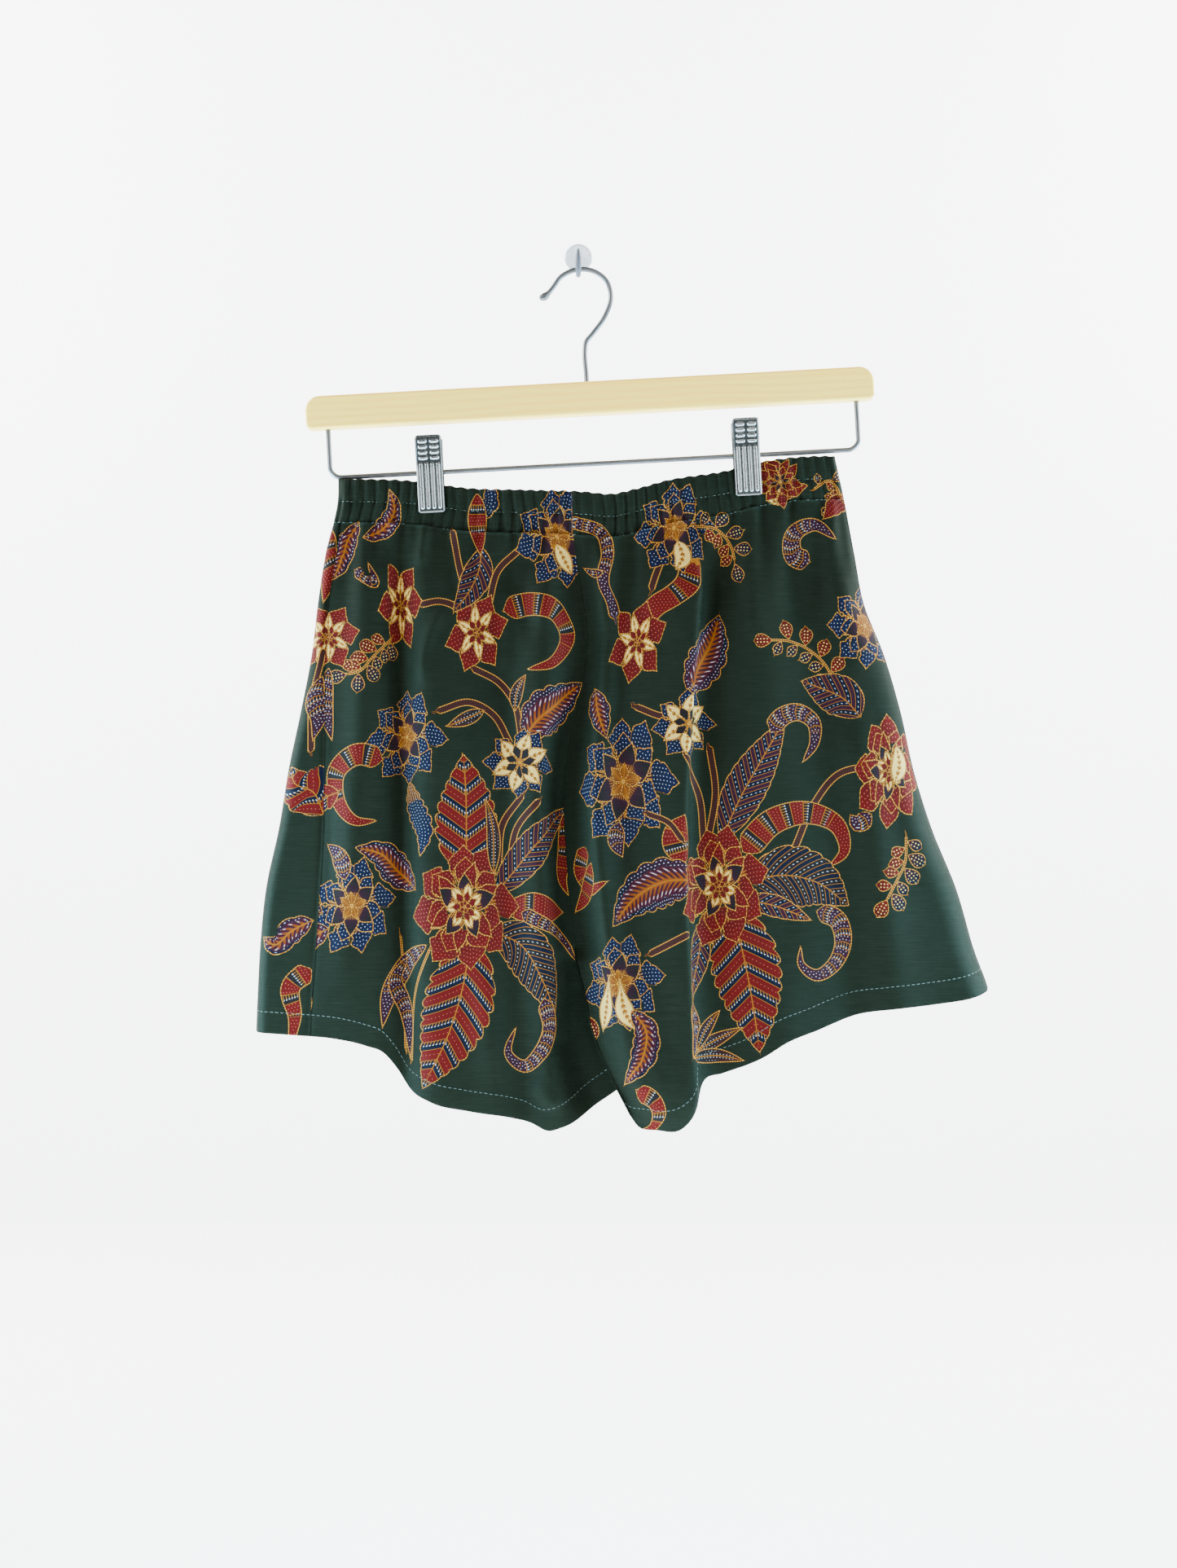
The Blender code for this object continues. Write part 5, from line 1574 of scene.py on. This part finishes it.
def stitch_row(grid_row, normal_row, blocks):
    """Dashes of thread along a row of cloth, each a short tapered bar on its surface."""
    reach = reach_along(grid_row)
    count = int(reach[-1] / STITCH_PITCH)

    def read(table, place):
        return np.array([np.interp(place, reach, table[:, i]) for i in range(3)])

    for k in range(count):
        middle = (k + 0.5) * reach[-1] / count
        a, b = (read(grid_row, middle + way * STITCH_LENGTH / 2) for way in (-1, 1))
        up = read(normal_row, middle)
        along = unit(b - a)
        side = np.cross(along, up)
        half = STITCH_WIDTH / 2
        centre = up * (CLOTH / 2 + half * 0.55)
        ring = [side * half, up * half, -side * half, -up * half]
        first = len(blocks[0])
        for share in (0.22, 0.78):
            blocks[0].extend((a + (b - a) * share + centre + r).tolist() for r in ring)
        blocks[0].extend((end + centre - up * half * 0.9).tolist() for end in (a, b))
        for i in range(4):
            j = (i + 1) % 4
            blocks[1].append((first + i, first + j, first + 4 + j, first + 4 + i))
            blocks[1].append((first + j, first + i, first + 8))
            blocks[1].append((first + 4 + i, first + 4 + j, first + 9))


def stitching(name, rows, material):
    """The dashes of one cloth, as one piece."""
    blocks = ([], [])
    for points, normals in rows:
        stitch_row(points, normals, blocks)
    mesh = bpy.data.meshes.new(name)
    mesh.from_pydata((np.array(blocks[0]) * MM).tolist(), [], blocks[1])
    mesh.shade_smooth()
    return new_object(name, mesh, material, "batik")


def row_of(cloth, index, outward):
    normal = normals_of(cloth.grid)[index] * (1 if outward else -1)
    return cloth.grid[index], normal


def tilted(x, y, z):
    """A point of the hanger's own frame in the world."""
    wx = BAR_CENTRE[0] + x * math.cos(TILT) - z * math.sin(TILT)
    wz = BAR_CENTRE[2] + x * math.sin(TILT) + z * math.cos(TILT)
    return wx, BAR_CENTRE[1] + y, wz


def tube(name, points, radii, material, slot, replaced=(), sides=20):
    """A round tube along points with a radius at each, closed by rounded ends."""
    points = np.asarray(points, float)
    radii = np.broadcast_to(np.asarray(radii, float), (len(points),)).copy()
    tangent = unit(np.gradient(points, axis=0), 0.0)
    side = np.cross(tangent[0], (0.3, 1.0, 0.2))
    frames = []
    for direction in tangent:
        side = unit(side - direction * side.dot(direction), 0.0)
        frames.append((side, np.cross(direction, side)))

    def dome(end, radius):
        """Stations from the tip of a rounded end to its foot: the point, how far past it, the size."""
        bends = [math.sin(share * math.pi / 2) for share in DOME_STEPS]
        return [
            (end, radius * DOME_LENGTH * (1 - bend), math.sqrt(1 - (1 - bend) ** 2) * 0.98 + 0.02)
            for bend in bends
        ]

    along = [(i, 0.0, 1.0) for i in range(len(points))]
    angles = np.linspace(0, 2 * math.pi, sides, endpoint=False)
    work = bmesh.new()
    rings = []
    for i, push, shrink in dome(0, -radii[0]) + along + dome(-1, radii[-1])[::-1]:
        centre = points[i] + tangent[i] * push
        a, b = frames[i]
        ring = [centre + (a * math.cos(t) + b * math.sin(t)) * radii[i] * shrink for t in angles]
        rings.append([work.verts.new(scaled(point)) for point in ring])
    for low, high in zip(rings, rings[1:]):
        for i in range(sides):
            j = (i + 1) % sides
            work.faces.new((low[i], low[j], high[j], high[i]))
    work.faces.new(rings[0][::-1])
    work.faces.new(rings[-1])
    mesh = bpy.data.meshes.new(name)
    write_mesh(work, mesh)
    return new_object(name, mesh, material, slot, replaced)


def hanger_bar(material):
    """The wooden bar, with its ends and edges rounded."""
    half, low, high = BAR_LENGTH / 2, -BAR_HEIGHT / 2, BAR_HEIGHT / 2
    outline = []
    for sx, sz, radius, start in (
        (1, 1, BAR_TOP_ROUND, 0), (-1, 1, BAR_TOP_ROUND, 90),
        (-1, -1, BAR_BOTTOM_ROUND, 180), (1, -1, BAR_BOTTOM_ROUND, 270),
    ):
        for k in range(15):
            angle = math.radians(start + 90 * k / 14)
            cx = sx * (half - radius)
            cz = (high if sz > 0 else low) - sz * radius
            outline.append((cx + radius * math.cos(angle), cz + radius * math.sin(angle)))
    mesh = bpy.data.meshes.new("hanger_bar_wood")
    work = bmesh.new()
    front = [work.verts.new(scaled(tilted(x, -BAR_THICKNESS / 2, z))) for x, z in outline]
    face = work.faces.new(front)
    pushed = bmesh.ops.extrude_face_region(work, geom=[face])["geom"]
    moved = [item for item in pushed if isinstance(item, bmesh.types.BMVert)]
    bmesh.ops.translate(work, verts=moved, vec=(0, BAR_THICKNESS * MM, 0))
    write_mesh(work, mesh)
    bar = new_object("hanger_bar_wood", mesh, material, "pine", ["hanger_bar"])
    soften = bar.modifiers.new("edges", "BEVEL")
    soften.width = BAR_EDGE_ROUND * MM
    soften.segments = 5
    soften.limit_method = "ANGLE"
    soften.angle_limit = math.radians(50)
    soften.harden_normals = False
    bar.modifiers.new("even", "WEIGHTED_NORMAL").keep_sharp = False


def hanger_hook(material):
    points = resampled([(x, BAR_CENTRE[1], z) for x, z in zip(HOOK_X, HOOK_Z)], 1.2)
    radii = np.full(len(points), HOOK_WIRE / 2)
    tip = np.linspace(1, 0, 5)
    radii[-5:] *= 1 + (HOOK_TIP_SWELL - 1) * np.sin(math.pi * tip)[::-1] + 0.15
    tube("hanger_hook_wire", points, radii, material, "chrome", ["hanger_hook"])


def clip_rail(material):
    """The bent wire that the clips slide on."""
    top = -BAR_HEIGHT / 2 + RAIL_DEPTH - RAIL_SUNK
    bend_z = RAIL_CORNER - RAIL_DROP
    ends = []
    for sx in (-1, 1):
        bend_x = sx * (RAIL_HALF_WIDTH - RAIL_CORNER)
        leg = [(sx * RAIL_HALF_WIDTH, z) for z in np.linspace(top, bend_z + 1.0, 8)]
        ends.append(leg + [
            (bend_x + sx * RAIL_CORNER * math.cos(t), bend_z - RAIL_CORNER * math.sin(t))
            for t in np.linspace(0, math.pi / 2, 13)
        ])
    straight = [(x, -RAIL_DROP) for x in np.linspace(-RAIL_STRAIGHT, RAIL_STRAIGHT, 40)]
    points = [tilted(x + RAIL_SHIFT, 0, z) for x, z in ends[0] + straight + ends[1][::-1]]
    tube("clip_rail_wire", points, RAIL_WIRE / 2, material, "chrome", ["clip_rail"])


def jaw_relief(x, z):
    """How far the front jaw's pressed ribs and grips stand out at a place on it."""
    beyond = np.abs(z - (RIB_TOP + RIB_FOOT) / 2) - (RIB_TOP - RIB_FOOT) / 2 + RIB_ROUND
    beyond = np.clip(beyond, 0, None)
    pressed = [(RIB_WIDTH / 2, x - (k - (RIBS - 1) / 2) * RIB_PITCH, beyond) for k in range(RIBS)]
    for k in range(GRIPS):
        across = np.abs(x - (k % 2 - 0.5) * GRIP_APART) - GRIP_HALF
        up = z - (GRIP_LOW + (k // 2) * GRIP_PITCH)
        pressed.append((GRIP_ROUND, np.clip(across, 0, None), up))
    rise = np.zeros_like(x)
    for half, gap_x, gap_z in pressed:
        raised = RIB_RAISE * ease((half - np.hypot(gap_x, gap_z)) / PRESS_SLOPE + 0.5)
        rise = np.maximum(rise, raised)
    return rise


def jaw(name, clip_x, toward, material, replaced):
    """A jaw of bent sheet metal: rounded corners, a rolled rim and, on the front, pressed ribs."""
    front = toward < 0
    below = CLIP_HEIGHT - CLIP_ABOVE_RAIL
    half = CLIP_WIDTH / 2
    fine = JAW_MESH[0] if front else JAW_MESH[1]
    across = np.linspace(-1, 1, int(CLIP_WIDTH / fine) + 1)
    up = np.linspace(-below, CLIP_ABOVE_RAIL, int(CLIP_HEIGHT / fine) + 1)
    x, z = np.meshgrid(across, up)
    near = np.minimum(z + below, CLIP_ABOVE_RAIL - z)
    arc = np.sqrt(np.clip(JAW_CORNER**2 - (JAW_CORNER - near) ** 2, 0, None))
    x = x * (half - np.where(near < JAW_CORNER, JAW_CORNER - arc, 0.0))
    inner = CLIP_HALF_GAP + CLIP_FLARE * ease((z - 2.0) / CLIP_ABOVE_RAIL)
    rim = ease(1 - np.minimum(half - np.abs(x), near) / JAW_RIM[0]) * JAW_RIM[1]
    raised = jaw_relief(x, z) if front else np.zeros_like(x)
    outer = inner + CLIP_SHEET - rim + raised
    points = []
    for depth in (outer, inner):
        flat = zip(x.ravel(), depth.ravel(), z.ravel())
        points += [scaled(tilted(clip_x + a, toward * d, c - RAIL_DROP)) for a, d, c in flat]
    quads, border = grid_faces(*x.shape)
    rim_quads = rim_faces(border, x.size)[:, ::-1]
    mesh = bpy.data.meshes.new(name)
    faces = np.concatenate([quads, quads[:, ::-1] + x.size, rim_quads])
    mesh.from_pydata(points, [], faces.tolist())
    work = bmesh.new()
    work.from_mesh(mesh)
    write_mesh(work, mesh, 60)
    # Painted highlight: the raised ribs, grips and rolled rim are painted lighter, and the flat plate
    # between them darker as painted shade.
    painted_highlight = raised.ravel() / RIB_RAISE * 0.7 + rim.ravel() * 0.8
    painted_highlight = np.concatenate([painted_highlight, np.full(x.size, 0.3)]).astype(np.float32)
    mesh.attributes.new("relief", "FLOAT", "POINT").data.foreach_set("value", painted_highlight)
    return new_object(name, mesh, material, "chrome", replaced)


def spring(side, clip_x, material):
    """The coil round the rail inside the clip, with an arm against each jaw."""
    steps = np.linspace(0, 1, int(SPRING_TURNS * 18))
    angle = 2 * math.pi * SPRING_TURNS * steps
    x = clip_x - SPRING_LENGTH / 2 + SPRING_LENGTH * steps
    coil = [(a, SPRING_RADIUS * math.cos(t), SPRING_RADIUS * math.sin(t)) for a, t in zip(x, angle)]
    arm_y, arm_z = CLIP_HALF_GAP - SPRING_ARM[0], SPRING_ARM[1]
    run = [(x[0], -arm_y, arm_z), *coil, (x[-1], arm_y, arm_z)]
    points = [tilted(a, b, c - RAIL_DROP) for a, b, c in run]
    tube(f"clip_spring_{side}", points, SPRING_WIRE / 2, material, "chrome", [f"clip_barrel_{side}"], 8)


def ears(side, clip_x, material):
    """The bent side ears of both jaws, which turn on the rail."""
    mesh = bpy.data.meshes.new(f"clip_ears_{side}")
    work = bmesh.new()
    for toward in (-1, 1):
        nose = [
            (-toward * EAR_NOSE[0] * math.cos(t), EAR_NOSE[1] * math.sin(t))
            for t in np.linspace(-math.pi / 2, math.pi / 2, 13)
        ]
        outline = nose + [(toward * y, z) for y, z in EAR_ENDS]
        for edge in (-1, 1):
            at = clip_x + edge * (CLIP_WIDTH / 2 - EAR_INSET - (EAR_INSET if toward > 0 else 0.0))
            plates = []
            for push in (-EAR_HALF, EAR_HALF):
                places = [tilted(at + push, y, z - RAIL_DROP) for y, z in outline]
                plates.append([work.verts.new(scaled(place)) for place in places])
            work.faces.new(plates[0])
            work.faces.new(plates[1][::-1])
            for i in range(len(outline)):
                j = (i + 1) % len(outline)
                work.faces.new((plates[0][i], plates[1][i], plates[1][j], plates[0][j]))
    bmesh.ops.recalc_face_normals(work, faces=work.faces)
    edges = [edge for edge in work.edges if edge.calc_face_angle(0) > EAR_SHARP]
    bmesh.ops.bevel(work, geom=edges, offset=EAR_BEVEL * MM, segments=2, affect="EDGES")
    work.to_mesh(mesh)
    work.free()
    new_object(f"clip_ears_{side}", mesh, material, "chrome")


def clips(pressed, polished):
    for side, x in zip(CLIP_NAMES, CLIP_X):
        jaw(f"clip_front_{side}", x, -1, pressed, [f"clip_jaw_front_{side}"])
        jaw(f"clip_back_{side}", x, 1, pressed, [f"clip_jaw_back_{side}"])
        spring(side, x, polished)
        ears(side, x, pressed)


def wall_hook(clear, grey):
    """The round clear plate and the bent peg."""
    mesh = bpy.data.meshes.new("wall_hook_disc")
    work = bmesh.new()
    points = [work.verts.new(scaled((r, y, 0.0))) for r, y in DISC_PROFILE]
    edges = [work.edges.new(pair) for pair in zip(points, points[1:])]
    turn = {"cent": (0, 0, 0), "axis": (0, 1, 0), "angle": 2 * math.pi, "steps": 64}
    bmesh.ops.spin(work, geom=points + edges, use_merge=True, **turn)
    bmesh.ops.remove_doubles(work, verts=work.verts, dist=1e-6)
    write_mesh(work, mesh, 50)
    new_object("wall_hook_disc", mesh, clear, "clear_plastic", ["wall_hook_plate"])
    points = resampled([(0.0, y, z, r) for y, z, r in zip(PEG_Y, PEG_Z, PEG_RADIUS)], 0.8)
    tube("wall_hook_peg_bent", points[:, :3], points[:, 3], grey, "grey_plastic", ["wall_hook_peg"])


def build_cloths():
    """The six cloths, each with its flat coordinates."""
    cloths = {}
    back_middle = EDGE_COLUMNS + STRIP_COLUMNS + BACK_COLUMNS // 2
    for side, inward in (("left", 1), ("right", -1)):
        front = turned_hem(front_panel(side), inward)
        back = turned_hem(back_panel(side), -inward)
        for face, grid, middle in (("front", front, FRONT_COLUMNS // 2), ("back", back, back_middle)):
            name = f"{face}_{side}"
            cloths[name] = Cloth(name, grid, flat_of(grid, middle), slice(0, -len(TURNED_ROWS)))
    for name in ("front", "back"):
        grid = casing(name == "front")
        flat = np.zeros((*grid.shape[:2], 2))
        for side in ("left", "right"):
            panel = cloths[f"{name}_{side}"]
            top_x = panel.grid[0, :, 0]
            top_u = panel.flat.reshape(*panel.grid.shape[:2], 2)[0, :, 0]
            order = np.argsort(top_x)
            here = (grid[..., 0] < CENTRE_FRONT_X[0]) == (side == "left")
            flat[here, 0] = np.interp(grid[..., 0][here], top_x[order], top_u[order])
        flat[..., 1] = -grid[..., 2]
        inside = CASING_OUTER_ROWS + len(CASING_TOP)
        flat[inside:, :, 1] -= 2 * (flat[inside:, :, 1] + grid[inside - 1 : inside, :, 2])
        shown = slice(0, CASING_OUTER_ROWS)
        cloths[f"casing_{name}"] = Cloth(f"waist_casing_{name}", grid, flat, shown)
    return cloths


def build_fields(cloths):
    fields = {}
    for face in ("front", "back"):
        band = cloths[f"casing_{face}"]
        for side in ("left", "right"):
            panel = cloths[f"{face}_{side}"]
            shown = panel.shown.copy()
            if face == "back":
                shown[:, : EDGE_COLUMNS + STRIP_COLUMNS - 4] = False
            on_side = (band.grid[..., 0] < CENTRE_FRONT_X[0]) == (side == "left")
            masks = [shown, band.shown & on_side]
            fields[f"{face}_{side}"] = Field([panel, band], masks, mirrored=face == "back")
    strip = cloths["back_left"].shown.copy()
    strip[:, STRIP_COLUMNS + EDGE_COLUMNS // 2 :] = False
    fields["side_left"] = Field([cloths["back_left"]], [strip])
    return fields


def make_shorts():
    """The cloths with their print, and the stitch rows on them."""
    cloths = build_cloths()
    lay_print(build_fields(cloths))
    printed = batik_material(shape_group(), colour_group())
    thread = mottled_material("thread", (900.0, 1.0), THREAD, (0.5, 0.2), Sheen_Weight=0.2)
    for name, cloth in cloths.items():
        face = "front" if "front" in name else "back"
        if name.startswith("casing"):
            outward = face == "front"
            stitched = [int(round((1 - v) * (CASING_OUTER_ROWS - 1))) for v in CASING_STITCHES]
        else:
            outward = name in ("front_right", "back_left")
            stitched = [RISE_ROWS + LEG_ROWS + HEM_HEIGHTS.index(HEM_TURN) - 1]
        piece = cloth_object(cloth, CLOTH, printed, outward, [cloth.name])
        rows = [row_of(cloth, index, outward) for index in stitched]
        sewn = stitching(cloth.name + "_stitches", rows, thread)


def make_stage():
    """A pale floor and backdrop, soft lights and the camera at the photograph's place."""
    for name, size, place, turn in STAGE:
        mesh = bpy.data.meshes.new(name)
        half = size / 2
        corners = [(-half, -half, 0), (half, -half, 0), (half, half, 0), (-half, half, 0)]
        mesh.from_pydata(corners, [], [(0, 1, 2, 3)])
        obj = new_object(name, mesh, stage_material(name + "_paint"))
        obj.location = place
        obj.rotation_euler = turn
    for name, place, size, power, colour in LIGHTS:
        light = bpy.data.lights.new(name, "AREA")
        light.size = size
        light.energy = power
        light.color = colour
        obj = bpy.data.objects.new(name, light)
        bpy.context.scene.collection.objects.link(obj)
        obj.location = place
        x, y, z = np.subtract(BACKDROP_AIM if name.startswith("wash") else SHORTS_AIM, place)
        obj.rotation_euler = (math.atan2(math.hypot(x, y), -z), 0.0, math.atan2(y, x) - math.pi / 2)
    world = bpy.data.worlds.new("soft_sky")
    world.use_nodes = True
    dress(world.node_tree, world.node_tree.nodes["Background"], {"Color": SKY, "Strength": SKY_STRENGTH})
    bpy.context.scene.world = world
    lens = bpy.data.cameras.new("camera")
    lens.lens = LENS
    lens.sensor_width = SENSOR
    camera = bpy.data.objects.new("camera", lens)
    camera.location = scaled(CAMERA_AT)
    camera.rotation_euler = (math.pi / 2, 0.0, 0.0)
    bpy.context.scene.collection.objects.link(camera)
    bpy.context.scene.camera = camera


def main():
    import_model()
    make_shorts()
    chrome = chrome_material("polished_chrome", *POLISHED, 0.34)
    pressed = chrome_material("pressed_chrome", *PRESSED, 0.24, "relief")
    clear = mottled_material(
        "clear_acrylic", (700.0, 2.0), map(linear, CLEAR_PLASTIC), (0.1, 0.1),
        Transmission_Weight=0.72, IOR=1.47,
    )
    grey = mottled_material(
        "grey_plastic_gloss", (400.0, 2.0), map(linear, GREY_PLASTIC), (0.3, 0.15), Specular_IOR_Level=0.25
    )
    hanger_bar(pine_material())
    hanger_hook(chrome)
    clip_rail(chrome)
    clips(pressed, chrome)
    wall_hook(clear, grey)
    make_stage()
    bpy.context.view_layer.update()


main()
